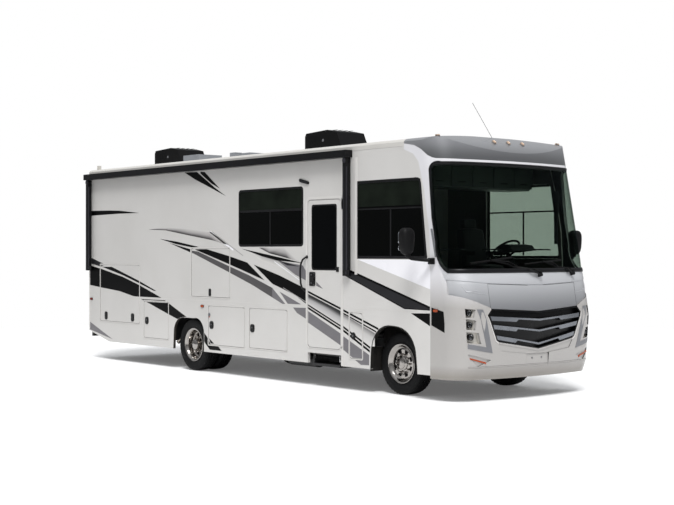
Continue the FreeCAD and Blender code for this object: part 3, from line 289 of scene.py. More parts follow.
for end, side in (("left", 1), ("right", -1)):
    lo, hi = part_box("front_tyre_" + end)
    centre = ((lo.x + hi.x) / 2, (lo.y + hi.y) / 2, (lo.z + hi.z) / 2)
    form = bmesh.new()
    build_tyre(form, centre, side)
    tread = piece("front_tyre_%s_tread" % end, form, "front_wheel_" + end, tyre_rubber)
    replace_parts(tread, "front_tyre_" + end)
    form = bmesh.new()
    build_cover(form, centre, side, 0.064, True)
    piece("front_wheel_%s_cover" % end, form, "front_wheel_" + end, polished)
    finish_node("front_rim_" + end, rim_painted_shade)
    lo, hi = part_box("rear_tyres_" + end)
    middle_x, middle_z = (lo.x + hi.x) / 2, (lo.z + hi.z) / 2
    outer_y = side * (max(abs(lo.y), abs(hi.y)) - TYRE_HALF)
    inner_y = side * (min(abs(lo.y), abs(hi.y)) + TYRE_HALF)
    form = bmesh.new()
    for y in (outer_y, inner_y):
        build_tyre(form, (middle_x, y, middle_z), side)
    tread = piece("rear_tyres_%s_tread" % end, form, "rear_wheels_" + end, tyre_rubber)
    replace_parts(tread, "rear_tyres_" + end)
    form = bmesh.new()
    build_cover(form, (middle_x, outer_y, middle_z), side, -0.024, False)
    piece("rear_wheel_%s_cover" % end, form, "rear_wheels_" + end, polished)
    finish_node("rear_rims_" + end, rim_painted_shade)


# ---- floor, stairwell and lockers ----------------------------------------------------------------
# The floor is plywood faced with printed vinyl boards, the stairwell is moulded ABS, and the outside
# lockers are black rotomoulded trays hung under the floor.
# Warm grey-brown boards with dark joints and streaks along them
vinyl_board, tree, out = blank_material("vinyl floor, printed board")
place = add(tree, "TexCoord").outputs["Object"]
boards = add(tree, "TexBrick", {"Vector": place, "Color1": linear("8c7f6f"), "Color2": linear("7a6d5e"),
                                "Mortar": linear("3d352c"), "Scale": 1.0, "Mortar Size": 0.002,
                                "Brick Width": 1.2, "Row Height": 0.15})
stretch = add(tree, "Mapping", {"Vector": place, "Scale": (2.0, 60.0, 60.0)})
streaks = add(tree, "TexNoise", {"Vector": stretch, "Scale": 3.0, "Detail": 6.0})
tint = add(tree, "Mix", {0: 0.25, 6: boards, 7: streaks.outputs[1]}, data_type="RGBA",
           blend_type="OVERLAY").outputs[2]
body = add(tree, "BsdfPrincipled", {"Base Color": tint, "Roughness": 0.45})
tree.links.new(body.outputs[0], out.inputs["Surface"])
# Satin black with a fine grain that breaks up the highlight
moulded_black = grainy("ABS, moulded black, textured", "151517", "202022", 0.48, 250.0, 3.0, 0.35)
# Dark grey and matt, a little paler than the frame around it
tray_plastic = grainy("polyethylene tray, rotomoulded", "2a2b2d", "1f2021", 0.62, 200.0, 6.0, 0.3)
finish_node("coach_floor", vinyl_board)
finish_node("stairwell", moulded_black)
finish_node("lockers", tray_plastic)


# ---- side walls, skirts and back wall ------------------------------------------------------------
# Laminated walls: gel-coated fibreglass outside, printed wallboard inside. A thin belt bead covers
# the joint with the skirts, and aluminium mouldings cover the corners and the joint with the cab.
AXLE_X = sum(corner.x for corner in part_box("front_tyre_left")) / 2
WALL_Y = -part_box("curb_wall")[0].y


def outer_face(tree, centre):
    """1 on faces that look away from a point inside the coach, 0 on faces that look at it."""
    coords = add(tree, "TexCoord")
    away = add(tree, "VectorMath", {0: coords.outputs["Object"], 1: centre}, operation="SUBTRACT")
    facing = add(tree, "VectorMath", {0: away, 1: coords.outputs["Normal"]}, operation="DOT_PRODUCT")
    return add(tree, "Math", {0: facing.outputs["Value"], 1: 0.0}, operation="GREATER_THAN")


def gelcoat(name, hindmost, foremost, inside):
    """Gel coat with painted shade: darker at the tail, paler at the nose, and dark on its inner face."""
    made, tree, out = blank_material(name)
    place = add(tree, "TexCoord").outputs["Object"]
    tail_x, nose_x = -4.85, 3.6
    # painted shade: the colour darkens from the nose toward the tail
    length = add(tree, "MapRange", {0: add(tree, "SeparateXYZ", {0: place}).outputs[0], 1: tail_x, 2: nose_x})
    tint = add(tree, "Mix", {0: length, 6: linear(hindmost), 7: linear(foremost)},
               data_type="RGBA").outputs[2]
    drift = add(tree, "TexNoise", {"Vector": place, "Scale": 1.3, "Detail": 5.0})
    grime = add(tree, "MapRange", {0: drift, 1: 0.35, 2: 0.7, 3: 0.0, 4: 0.10})
    skin = add(tree, "Mix", {0: grime, 6: tint, 7: linear("8f8b84")}, data_type="RGBA").outputs[2]
    # painted shade: faces turned into the coach take the dark inside colour
    shade = add(tree, "Mix", {0: outer_face(tree, (1.0, 0.0, 2.0)), 6: linear(inside), 7: skin},
                data_type="RGBA").outputs[2]
    ripple = add(tree, "TexNoise", {"Vector": place, "Scale": 55.0, "Detail": 1.0})
    lift = add(tree, "Bump", {"Height": ripple, "Strength": 0.04, "Distance": 0.002})
    body = add(tree, "BsdfPrincipled", {"Base Color": shade, "Roughness": 0.3, "Normal": lift,
                                        "Coat Weight": 0.25, "Coat Roughness": 0.08})
    tree.links.new(body.outputs[0], out.inputs["Surface"])
    return made


def prism(form, outline, near, far, material=0):
    """Pushes an outline of (x, z) from near to far along y, with closed ends."""
    area = sum(a[0] * b[1] - b[0] * a[1] for a, b in zip(outline, outline[1:] + outline[:1]))
    if (area > 0) != (near < far):
        outline = outline[::-1]
    back = [form.verts.new((x, near, z)) for x, z in outline]
    front = [form.verts.new((x, far, z)) for x, z in outline]
    faces = [form.faces.new(back), form.faces.new(front[::-1])]
    for a, b, c, d in zip(back[1:] + back[:1], back, front, front[1:] + front[:1]):
        faces.append(form.faces.new((a, b, c, d)))
    for face in faces:
        face.material_index = material
    return faces


def rounded(x0, x1, z0, z1, r, n=5):
    """A rectangle's outline in x and z with round corners."""
    points = []
    left, right, low, high = x0 + r, x1 - r, z0 + r, z1 - r
    for cx, cz, start in ((right, high, 0), (left, high, 90), (left, low, 180), (right, low, 270)):
        for k in range(n + 1):
            a = math.radians(start + 90.0 * k / n)
            points.append((cx + r * math.cos(a), cz + r * math.sin(a)))
    return points


def bridge(form, here, there, material=0, closed=True):
    """Faces between two rows of points with the same count."""
    ends = (here[1:] + here[:1], there[1:] + there[:1]) if closed else (here[1:], there[1:])
    for a, b, c, d in zip(here, *ends, there):
        form.faces.new((a, b, c, d)).material_index = material


def rim(form, outer, inner, near, far, closed=True):
    """A frame between two outlines of the same count, pushed from near to far along y."""
    loops = [[form.verts.new((x, y, z)) for x, z in outline]
             for y in (near, far) for outline in (outer, inner)]
    for a, b in ((0, 2), (2, 3), (3, 1), (1, 0)):
        bridge(form, loops[a], loops[b], closed=closed)
    bmesh.ops.recalc_face_normals(form, faces=form.faces)


def round_frame(form, box, outer, inner, near, far, n=5):
    """A frame about a box of x0, x1, z0, z1. Outer and inner are each a growth and a corner radius."""
    x0, x1, z0, z1 = box
    outlines = [rounded(x0 - by, x1 + by, z0 - by, z1 + by, r, n) for by, r in (outer, inner)]
    rim(form, *outlines, near, far)


def soften(form, width, angle=40.0, segments=2):
    """Rounds every edge sharper than an angle."""
    edges = [e for e in form.edges if len(e.link_faces) == 2 and e.calc_face_angle() > math.radians(angle)]
    bmesh.ops.bevel(form, geom=edges, offset=width, segments=segments, affect="EDGES", clamp_overlap=True)


def slab(form, low, high, material=0):
    """A box between two corners."""
    outline = [(low[0], low[2]), (high[0], low[2]), (high[0], high[2]), (low[0], high[2])]
    return prism(form, outline, low[1], high[1], material)


# Smooth warm white with a clear gloss, faintly greyed by dirt. Painted shade darkens it toward
# the tail and makes its inner face dark
gel_wall = gelcoat("gel coat, sprayed and polished", "c5c3c0", "cfcdca", "3a3733")
for name in ("curb_wall", "road_wall", "curb_skirt", "road_skirt", "rear_wall", "slide_out_room"):
    finish_node(name, gel_wall)
# A paler white line with a soft gloss, set off from the wall
trim_paint = grainy("aluminium moulding, painted warm white", "d9d7d4", "c9c6c2", 0.35, 500.0, 4.0, 0.05)
form = bmesh.new()
for side in (-1, 1):
    y = side * WALL_Y
    belt_spans = ((-8.19, -7.80), (-6.41, -1.79), (-0.93, 0.74)) if side < 0 else ((-8.19, 0.74),)
    for x0, x1 in belt_spans:
        slab(form, (AXLE_X + x0, y, 1.1385), (AXLE_X + x1, y + side * 0.0012, 1.1425))
    slab(form, (AXLE_X - 0.70, y, 1.60), (AXLE_X - 0.655, y + side * 0.010, 3.20))
    slab(form, (-4.8492, y, 0.52), (-4.815, y + side * 0.002, 3.285))
soften(form, 0.001)
piece("wall_mouldings", form, "coach", trim_paint)


# painted frame round every locker and fuel door opening
skirt_doors = [("curb_locker_door_%d" % n, -1) for n in range(1, 6)] + [("fuel_door", -1)]
skirt_doors += [("road_locker_door_%d" % n, 1) for n in range(1, 4)]
for name, side in skirt_doors:
    lo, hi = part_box(name)
    form = bmesh.new()
    round_frame(form, (lo.x, hi.x, lo.z, hi.z), (0.020, 0.030), (0.0075, 0.006),
                side * (WALL_Y + 0.0002), side * (WALL_Y + 0.0045))
    soften(form, 0.0018)
    piece(name + "_frame", form, "coach", trim_paint)


# ---- locker doors and fuel door ------------------------------------------------------------------
# Gel-coated sandwich doors in painted aluminium frames. Each has one or two black paddle latches, most
# of them with a key lock. The fuel door has a round cap lock.
# Small black parts that still catch a soft highlight
latch_black = grainy("zinc latch, powder coated black", "0b0b0c", "1a1a1c", 0.4, 60.0, 2.0, 0.2, shine=0.25)
# A grey glint in the middle of each latch
key_steel = grainy("lock barrel, brushed steel", "9a9a9c", "6f6f72", 0.3, 20.0, 4.0, 0.3, 1.0)
for name, _ in skirt_doors:
    finish_node(name, gel_wall)


def disc(form, x, z, r, near, far, n=20, material=0):
    """A round plate on a side wall."""
    turns = [2 * math.pi * k / n for k in range(n)]
    prism(form, [(x + r * math.cos(a), z + r * math.sin(a)) for a in turns], near, far, material)


def latch(name, body, side, x, z, width, height, with_key):
    """A paddle latch: base plate, raised pad and key barrel."""
    form = bmesh.new()
    y = side * (WALL_Y + 0.0002)
    base = rounded(x - width / 2, x + width / 2, z - height / 2, z + height / 2, width * 0.36)
    prism(form, base, y, y + side * 0.006)
    pad = 0.62
    x0, x1, z0 = x - width * pad / 2, x + width * pad / 2, z - height * pad / 2
    prism(form, rounded(x0, x1, z0, z + height * 0.40, width * 0.22), y + side * 0.005, y + side * 0.011)
    soften(form, 0.0015)
    if with_key:
        key_z = z + height * 0.06
        disc(form, x, key_z, 0.0095, y + side * 0.010, y + side * 0.014, 18, 1)
        slab(form, (x - 0.0012, y + side * 0.0138, key_z - 0.006),
             (x + 0.0012, y + side * 0.0144, key_z + 0.006))
    piece(name, form, body, latch_black, key_steel)


KEYED = (0.110, 0.122, True)
PLAIN = (0.100, 0.140, False)
SMALL = (0.064, 0.118, False)
for name, x, z, kind in (
        ("curb_locker_door_1", -7.57, 0.788, PLAIN), ("curb_locker_door_1", -6.654, 0.788, PLAIN),
        ("curb_locker_door_2", -6.18, 0.755, KEYED), ("curb_locker_door_3", -4.266, 1.273, SMALL),
        ("curb_locker_door_4", -4.218, 0.762, KEYED), ("curb_locker_door_5", -3.113, 0.760, KEYED),
        ("road_locker_door_1", -7.35, 0.66, KEYED), ("road_locker_door_1", -6.85, 0.66, KEYED),
        ("road_locker_door_2", -3.65, 0.55, KEYED), ("road_locker_door_3", -2.20, 0.55, KEYED)):
    side = -1 if name.startswith("curb") else 1
    latch("%s_latch_%d" % (name, round(-x * 100)), name, side, AXLE_X + x, z, *kind)
form = bmesh.new()
x, z = AXLE_X - 0.736, 0.762
for radius, near, far, material in ((0.047, 0.0002, 0.008, 0), (0.036, 0.008, 0.013, 0),
                                    (0.012, 0.0128, 0.016, 1)):
    disc(form, x, z, radius, -WALL_Y - near, -WALL_Y - far, 28, material)
soften(form, 0.0015)
slab(form, (x - 0.0018, -WALL_Y - 0.0158, z - 0.007), (x + 0.0018, -WALL_Y - 0.0168, z + 0.007))
piece("fuel_door_cap_lock", form, "fuel_door", latch_black, key_steel)


# ---- wheel arch lips and mud flaps ---------------------------------------------------------------
# An extruded rubber lip is pressed over the front arch edges, and a flap hangs behind each front
# wheel.
# A soft black edge that separates wall and wheel
arch_rubber = grainy("EPDM rubber, extruded", "141312", "24221f", 0.6, 120.0, 3.0, 0.2, shine=0.25)
SIDES = (("curb", -1), ("road", 1))
for name, side in SIDES:
    form = bmesh.new()
    edge = [(-0.382, 0.335), (-0.376, 0.48), (-0.367, 0.60), (-0.335, 0.72), (-0.275, 0.815), (-0.19, 0.885),
            (-0.10, 0.922), (-0.02, 0.936), (0.085, 0.935), (0.19, 0.926), (0.29, 0.895), (0.37, 0.852),
            (0.43, 0.800), (0.485, 0.72), (0.515, 0.645), (0.530, 0.56), (0.545, 0.44), (0.553, 0.335)]
    lip = [(AXLE_X + x, z) for x, z in edge]
    mid = (AXLE_X + 0.09, 0.45)
    inward = [(x + (mid[0] - x) * 0.030, z + (mid[1] - z) * 0.030) for x, z in lip]
    rim(form, lip, inward, side * (WALL_Y - 0.046), side * (WALL_Y + 0.002), closed=False)
    slab(form, (AXLE_X - 0.405, side * 0.98, 0.30), (AXLE_X - 0.395, side * 1.262, 0.62))
    piece("front_arch_lip_" + name, form, "coach", arch_rubber)


# ---- windows -------------------------------------------------------------------------------------
# Frameless look: dark privacy glass in black anodised frames, with one cross bar and a sliding lower
# half. The drawn fabric shades behind show as slightly paler panes.
# A thin, even black line around each pane
anodised = grainy("aluminium, anodised black", "0a0a0b", "161618", 0.35, 120.0, 2.0, 0.1, shine=0.2)


def sheet_glass(name, tint, mirror):
    """Tinted sheet glass: a clear tint under a dimmed mirror that grows at the edge."""
    made, tree, out = blank_material(name)
    clear = add(tree, "BsdfTransparent", {"Color": linear(tint)})
    place = add(tree, "TexCoord").outputs["Object"]
    wave = add(tree, "TexNoise", {"Vector": place, "Scale": 2.5, "Detail": 1.0})
    lift = add(tree, "Bump", {"Height": wave, "Strength": 0.05, "Distance": 0.01})
    gloss = add(tree, "BsdfGlossy", {"Color": linear(mirror), "Roughness": 0.02, "Normal": lift})
    behind = add(tree, "NewGeometry").outputs["Backfacing"]
    glass_index = 1.5
    index = add(tree, "MapRange", {0: behind, 1: 0.0, 2: 1.0, 3: glass_index, 4: 1.0 / glass_index})
    edge = add(tree, "Fresnel", {"IOR": index, "Normal": lift})
    pane = add(tree, "MixShader", {0: edge, 1: clear, 2: gloss})
    tree.links.new(pane.outputs[0], out.inputs["Surface"])
    return made


def shaded_glass(name, low, high, split_z, fade, clear_from=None):
    """Privacy glass with the shades drawn: dark panes, paler above a height, clear beyond a corner."""
    made, tree, out = blank_material(name)
    place = add(tree, "TexCoord").outputs["Object"]
    x, y, height = add(tree, "SeparateXYZ", {0: place}).outputs
    upper = add(tree, "MapRange", {0: height, 1: split_z - fade, 2: split_z + fade})
    tint = add(tree, "Mix", {0: upper, 6: linear(low), 7: linear(high)}, data_type="RGBA").outputs[2]
    folds = add(tree, "TexNoise", {"Vector": place, "Scale": 3.0, "Detail": 2.0})
    shade = add(tree, "Mix", {0: folds, 6: tint, 7: linear("050606")}, data_type="RGBA").outputs[2]
    body = add(tree, "BsdfPrincipled", {"Base Color": shade, "Roughness": 0.06, "Specular IOR Level": 0.06})
    if clear_from:
        past_x = add(tree, "Math", {0: x, 1: clear_from[0]}, operation="GREATER_THAN")
        both = add(tree, "Math", {0: past_x, 1: add(tree, "Math", {0: y, 1: clear_from[1]},
                                                    operation="GREATER_THAN")}, operation="MULTIPLY")
        clear = add(tree, "BsdfTransparent", {"Color": linear("d8ded9")})
        body = add(tree, "MixShader", {0: both, 1: body, 2: clear})
    tree.links.new(body.outputs[0], out.inputs["Surface"])
    return made


# Almost black, with a paler upper half where the shades hang
side_glass = shaded_glass("privacy glass, heat formed", "050605", "20261f", 2.52, 0.004, (2.6, 0.0))
finish_node("side_windows", side_glass)
finish_node("slide_out_window", side_glass)


def window_frame(name, body, side, y, outer, inner, bars):
    """Black frame just proud of the wall, and its bars."""
    form = bmesh.new()
    rim(form, outer, inner, y, y + side * 0.005)
    for low, high in bars:
        slab(form, (low[0], y - side * 0.002, low[1]), (high[0], y + side * 0.003, high[1]))
    soften(form, 0.0012)
    piece(name, form, body, anodised)


for name, body, side, opening, bar_z, post_x in (
        ("curb_window_frame", "coach", -1, (-0.134, 1.487, 1.988, 2.853), 2.522, AXLE_X - 2.666),
        ("rear_road_window_frame", "coach", 1, (-4.181, -3.181, 2.050, 2.750), 2.45, -3.681),
        ("slide_out_window_frame", "slide_out", 1, (-0.955, 0.445, 2.000, 2.750), 2.42, -0.255)):
    x0, x1, z0, z1 = opening
    y = side * (WALL_Y - 0.004) if body == "coach" else 1.3085
    outer = rounded(x0 + 0.001, x1 - 0.001, z0 + 0.001, z1 - 0.001, 0.058, 6)
    inner = rounded(x0 + 0.034, x1 - 0.034, z0 + 0.034, z1 - 0.034, 0.034, 6)
    bars = [((x0 + 0.03, bar_z - 0.016), (x1 - 0.03, bar_z + 0.016)),
            ((post_x - 0.014, z0 + 0.03), (post_x + 0.014, bar_z - 0.016))]
    window_frame(name, body, side, y, outer, inner, bars)
for name, side in SIDES:
    y = side * (WALL_Y - 0.004)
    outer = [(-0.678, 1.86), (-0.664, 1.828), (-0.63, 1.817), (0.698, 1.817), (0.723, 1.828), (0.733, 1.862),
             (0.6235, 2.80), (0.606, 2.855), (0.56, 2.873), (-0.63, 2.873), (-0.664, 2.862), (-0.678, 2.83)]
    inner = [(-0.640, 1.88), (-0.632, 1.862), (-0.61, 1.855), (0.672, 1.855), (0.686, 1.862), (0.692, 1.885),
             (0.587, 2.79), (0.578, 2.824), (0.55, 2.835), (-0.61, 2.835), (-0.632, 2.828), (-0.640, 2.81)]
    outer, inner = ([(AXLE_X + x, z) for x, z in line] for line in (outer, inner))
    bars = [((AXLE_X - 0.64, 2.475), (AXLE_X + 0.62, 2.497)),
            ((AXLE_X + 0.014, 1.86), (AXLE_X + 0.042, 2.476))]
    window_frame(name + "_cab_window_frame", "coach", side, y, outer, inner, bars)


# ---- entry door ----------------------------------------------------------------------------------
# A radius-cornered door in a white moulded surround, with dark glass, a black paddle lock and a grab
# handle on the wall beside it. A flat porch lamp sits above.
def shell_tube(form, points, radius, n=10, material=0):
    """Sweeps a round bar through points, with flat ends."""
    nearly_upright = 0.95
    points = [Vector(p) for p in points]
    rings = []
    up = Vector((0.0, 0.0, 1.0))
    for i, here in enumerate(points):
        along = (points[min(i + 1, len(points) - 1)] - points[max(i - 1, 0)]).normalized()
        if abs(along.dot(up)) > nearly_upright:
            up = Vector((1.0, 0.0, 0.0))
        side = along.cross(up).normalized()
        up = side.cross(along).normalized()
        rings.append([form.verts.new(here + radius * (math.cos(a) * side + math.sin(a) * up))
                      for a in (2.0 * math.pi * k / n for k in range(n))])
    for ring, after in zip(rings, rings[1:]):
        bridge(form, ring, after, material)
    for ring in (rings[0][::-1], rings[-1]):
        form.faces.new(ring).material_index = material


finish_node("entry_door", gel_wall)
# Almost black glass that shows the reflection of the sky alone
door_glass = shaded_glass("entry door glass, tinted black", "050608", "08090b", 3.0, 0.01)
finish_node("entry_door_glass", door_glass)
form = bmesh.new()
x0, x1, z0, z1 = 1.677, 2.249, 1.650, 2.580
round_frame(form, (x0, x1, z0, z1), (-0.001, 0.07), (-0.022, 0.055), -WALL_Y + 0.004, -WALL_Y - 0.001, 6)
slab(form, (x1 - 0.012, -WALL_Y - 0.0005, 1.632), (x1 + 0.045, -WALL_Y - 0.007, 1.70))
soften(form, 0.0012)
piece("entry_door_window_frame", form, "entry_door", anodised)
form = bmesh.new()
x0, x1, z0, z1 = 1.589 - 0.010, 2.341 + 0.010, 0.553 - 0.012, 2.645 + 0.012
rim(form, rounded(x0 - 0.030, x1 + 0.034, z0 - 0.002, z1 + 0.036, 0.095, 7),
    rounded(x0, x1, z0, z1, 0.068, 7), -WALL_Y + 0.0005, -WALL_Y - 0.005)
slab(form, (x1 + 0.002, -WALL_Y + 0.0005, 0.335), (x1 + 0.034, -WALL_Y - 0.005, 0.60))
slab(form, (x1 + 0.002, -WALL_Y + 0.0005, 2.50), (x1 + 0.034, -WALL_Y - 0.005, 3.20))
soften(form, 0.0015)
piece("entry_door_surround", form, "coach", trim_paint)
form = bmesh.new()
y = -WALL_Y - 0.0003
prism(form, rounded(1.633, 1.768, 1.425, 1.625, 0.022), y, y - 0.008)
prism(form, rounded(1.650, 1.722, 1.455, 1.600, 0.014), y - 0.007, y - 0.013)
prism(form, rounded(1.665, 1.752, 1.500, 1.545, 0.012), y - 0.012, y - 0.030)
soften(form, 0.002)
for z in (1.585, 1.470):
    disc(form, 1.690, z, 0.010, y - 0.0128, y - 0.018, 18, 1)
for z in (1.605, 1.445):
    disc(form, 1.745, z, 0.006, y - 0.0078, y - 0.011, 14, 1)
piece("entry_door_lock", form, "entry_door", latch_black, key_steel)
form = bmesh.new()
grip = [(1.573, -1.283, 1.838), (1.560, -1.302, 1.832), (1.534, -1.330, 1.800), (1.508, -1.343, 1.740),
        (1.497, -1.347, 1.660), (1.496, -1.347, 1.560), (1.504, -1.343, 1.460), (1.515, -1.330, 1.400),
        (1.524, -1.302, 1.368), (1.526, -1.283, 1.362)]
shell_tube(form, grip, 0.0135, 12)
for x, z in ((1.573, 1.838), (1.526, 1.362)):
    disc(form, x, z, 0.024, -WALL_Y, -WALL_Y - 0.007, 20)
piece("entry_grab_handle", form, "coach", latch_black)
form = bmesh.new()
outline = [(1.409, 2.952), (1.424, 2.962), (1.610, 2.916), (1.624, 2.902), (1.622, 2.882), (1.606, 2.873),
           (1.422, 2.915), (1.408, 2.930)]
prism(form, outline, -WALL_Y, -WALL_Y - 0.020)
lens_outline = [(1.432, 2.947), (1.600, 2.905), (1.600, 2.885), (1.432, 2.926)]
prism(form, lens_outline, -WALL_Y - 0.0195, -WALL_Y - 0.024, 1)
soften(form, 0.002)
# Smoked grey with a wet shine, darker than a lit lens
lamp_lens = grainy("polycarbonate lens, smoked", "2c2d2f", "1d1e20", 0.2, 40.0, 3.0, 0.2, shine=0.3)
piece("porch_lamp", form, "coach", latch_black, lamp_lens)


# ---- entry step ----------------------------------------------------------------------------------
# A folding aluminium tread, painted black, with bonded grip ribs. It hangs in a welded steel housing
# that is bolted to the frame through two brackets.
# Worn dark metal, a little paler where feet have rubbed
step_metal = grainy("aluminium tread, painted black", "19191a", "2b2b2c", 0.5, 60.0, 2.0, 0.5, 0.2)
finish_node("entry_step", step_metal)
lo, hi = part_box("entry_step")
form = bmesh.new()
for k in range(9):
    x = lo.x + 0.06 + k * (hi.x - lo.x - 0.12) / 8
    slab(form, (x - 0.008, lo.y + 0.02, hi.z - 0.0005), (x + 0.008, lo.y + 0.24, hi.z + 0.0015))
soften(form, 0.0006)
# Rough dark bands that take no highlight
grit = grainy("grit strip, bonded", "3b3b3c", "242425", 0.9, 20.0, 1.5, 0.8)
piece("entry_step_grip_ribs", form, "entry_step", grit)
form = bmesh.new()
for x in (lo.x + 0.02, hi.x - 0.05):
    slab(form, (x, -1.236, 0.40), (x + 0.03, -1.2235, 0.47))
    disc(form, x + 0.015, 0.435, 0.007, -1.236, -1.241, 6, 1)
soften(form, 0.001)
piece("step_housing_brackets", form, "coach", chassis_paint, key_steel)


# ---- front cap -----------------------------------------------------------------------------------
# One moulded fibreglass cap: white pillars and sides, a grey metallic brow over the windshield and a
# silver metallic belt across the nose under it. Painted shade turns the white lower half warm grey
# and darkens the hem, and painted shade and highlight run up the brow and the belt.
def step_line(tree, across, points):
    """A broken line as a curve: the height it has at a distance across, both in metres."""
    widest, tallest = 2.0, 4.0
    curve = add(tree, "FloatCurve", {"Value": add(tree, "Math", {0: across, 1: 1.0 / widest},
                                                  operation="MULTIPLY")})
    line = curve.mapping.curves[0]
    while len(line.points) < len(points):
        line.points.new(0.5, 0.5)
    for point, (a, b) in zip(line.points, points):
        point.location = (a / widest, b / tallest)
        point.handle_type = "VECTOR"
    curve.mapping.use_clip = False
    curve.mapping.update()
    return add(tree, "Math", {0: curve, 1: tallest}, operation="MULTIPLY")


def above(tree, value, limit):
    """0 below the limit, 1 above it, with a soft edge between."""
    soft = 0.002
    return add(tree, "MapRange", {0: add(tree, "Math", {0: value, 1: limit}, operation="SUBTRACT"), 1: -soft,
                                  2: soft})


def painted_light(tree, height, low_z, high_z, low, high):
    """Painted shade and highlight on a metallic panel that curves back: darker low down, paler above."""
    climb = add(tree, "MapRange", {0: height, 1: low_z, 2: high_z}, interpolation_type="SMOOTHSTEP")
    return add(tree, "Mix", {0: climb, 6: linear(low), 7: linear(high)}, data_type="RGBA").outputs[2]


def silver_painted_light(tree, height):
    """Painted shade and highlight on the silver coat, from the belt's lower edge to the windshield."""
    return painted_light(tree, height, 1.10, 1.66, "87888b", "d8d9dc")


def lacquer(tree, out, place, colour, rough, metallic):
    """Metallic base coat, with the faint sparkle of its flakes, under clear lacquer."""
    flake = add(tree, "TexVoronoi", {"Vector": place, "Scale": 900.0})
    body = add(tree, "BsdfPrincipled", {"Base Color": colour, "Roughness": rough, "Metallic": metallic,
                                        "Normal": add(tree, "Bump", {"Height": flake, "Strength": 0.05,
                                                                     "Distance": 0.0004}),
                                        "Coat Weight": 0.35, "Coat Roughness": 0.06})
    tree.links.new(body.outputs[0], out.inputs["Surface"])


METAL_SHARE = 0.45
# White lacquer with silver sides and a grey brow; painted shade greys its lower half and browns its hem
cap_paint, tree, out = blank_material("cap lacquer, white, silver and grey metallic")
place = add(tree, "TexCoord").outputs["Object"]
x, y, height = add(tree, "SeparateXYZ", {0: place}).outputs
from_axle = add(tree, "Math", {0: x, 1: AXLE_X}, operation="SUBTRACT")
off_middle = add(tree, "Math", {0: y}, operation="ABSOLUTE")
brow_line = step_line(tree, from_axle, [
    (0.0, 3.345), (0.295, 3.326), (0.488, 3.294), (0.621, 3.234), (0.734, 3.150), (0.800, 3.118),
    (0.846, 3.106), (1.030, 3.098), (1.3, 3.092), (2.0, 3.09)])
in_brow = above(tree, height, brow_line)
silver_low = step_line(tree, off_middle, [
    (0.0, 1.05), (0.76, 1.05), (0.778, 1.183), (0.79, 1.190), (1.05, 1.292), (1.219, 1.350), (1.29, 1.372),
    (2.0, 1.38)])
over_low = above(tree, height, silver_low)
side_line = step_line(tree, height, [
    (0.0, 1.16), (1.376, 1.115), (1.540, 1.078), (1.552, 1.055), (1.640, 1.010), (1.713, 0.955), (1.74, 0.94),
    (2.0, 0.93)])
past_side = above(tree, from_axle, side_line)
glass_foot = 1.745
below_glass = above(tree, glass_foot, height)
silver = add(tree, "Math", {0: over_low, 1: past_side}, operation="MULTIPLY")
in_silver = add(tree, "Math", {0: silver, 1: below_glass}, operation="MULTIPLY")
# painted shade: the white darkens from 1.62 m down to a warm grey at 1.20 m
pale = add(tree, "MapRange", {0: height, 1: 1.20, 2: 1.62})
shaded_white = add(tree, "Mix", {0: pale, 6: linear("a9a6a3"), 7: linear("dcdbde")}, data_type="RGBA").outputs[2]
# painted shade: the hem darkens to brown-grey from 0.47 m down to 0.33 m
hem_shade = add(tree, "MapRange", {0: height, 1: 0.33, 2: 0.47, 3: 0.75, 4: 0.0})
white = add(tree, "Mix", {0: hem_shade, 6: shaded_white, 7: linear("857f77")}, data_type="RGBA").outputs[2]
# painted shade and highlight: belt and brow are darker low and paler high
silver_shaded = silver_painted_light(tree, height)
with_silver = add(tree, "Mix", {0: in_silver, 6: white, 7: silver_shaded}, data_type="RGBA").outputs[2]
brow_shaded = painted_light(tree, height, 3.10, 3.42, "606163", "9c9da0")
with_brow = add(tree, "Mix", {0: in_brow, 6: with_silver, 7: brow_shaded}, data_type="RGBA").outputs[2]
# painted shade: faces turned into the coach are near-black
facing = outer_face(tree, (3.0, 0.0, 1.9))
shade = add(tree, "Mix", {0: facing, 6: linear("1a1a1b"), 7: with_brow}, data_type="RGBA").outputs[2]
metal = add(tree, "Math", {0: in_silver, 1: in_brow}, operation="MAXIMUM")
metal_out = add(tree, "Math", {0: metal, 1: facing}, operation="MULTIPLY")
metallic = add(tree, "Math", {0: metal_out, 1: METAL_SHARE}, operation="MULTIPLY")
rough = add(tree, "MapRange", {0: metal_out, 1: 0.0, 2: 1.0, 3: 0.26, 4: 0.36})
lacquer(tree, out, place, shade, rough, metallic)
finish_node("front_cap", cap_paint)
# Silver with painted shade and highlight by height, darker low and paler high, that sparkles slightly
silver_paint, tree, out = blank_material("silver metallic lacquer, sprayed")
place = add(tree, "TexCoord").outputs["Object"]
lacquer(tree, out, place, silver_painted_light(tree, add(tree, "SeparateXYZ", {0: place}).outputs[2]), 0.34,
        METAL_SHARE)
finish_node("hood", silver_paint)


def surface_tree(*names):
    """A ray target made of CAD nodes."""
    joined = bmesh.new()
    for name in names:
        joined.from_mesh(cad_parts[name].data)
    target = BVHTree.FromBMesh(joined)
    joined.free()
    return target


nose_target = surface_tree("front_cap", "hood", "windshield", "grille", "headlamps")


def on_nose(y, z, lift=0.0, target=None):
    """The point on the nose at y and z, lifted along the surface's normal."""
    spot, normal, _, _ = (target or nose_target).ray_cast(Vector((6.0, y, z)), Vector((-1.0, 0.0, 0.0)))
    return spot + normal * lift


def between(a, b, k, count):
    """The point k steps of count from one (y, z) to another."""
    return a[0] + (b[0] - a[0]) * k / count, a[1] + (b[1] - a[1]) * k / count


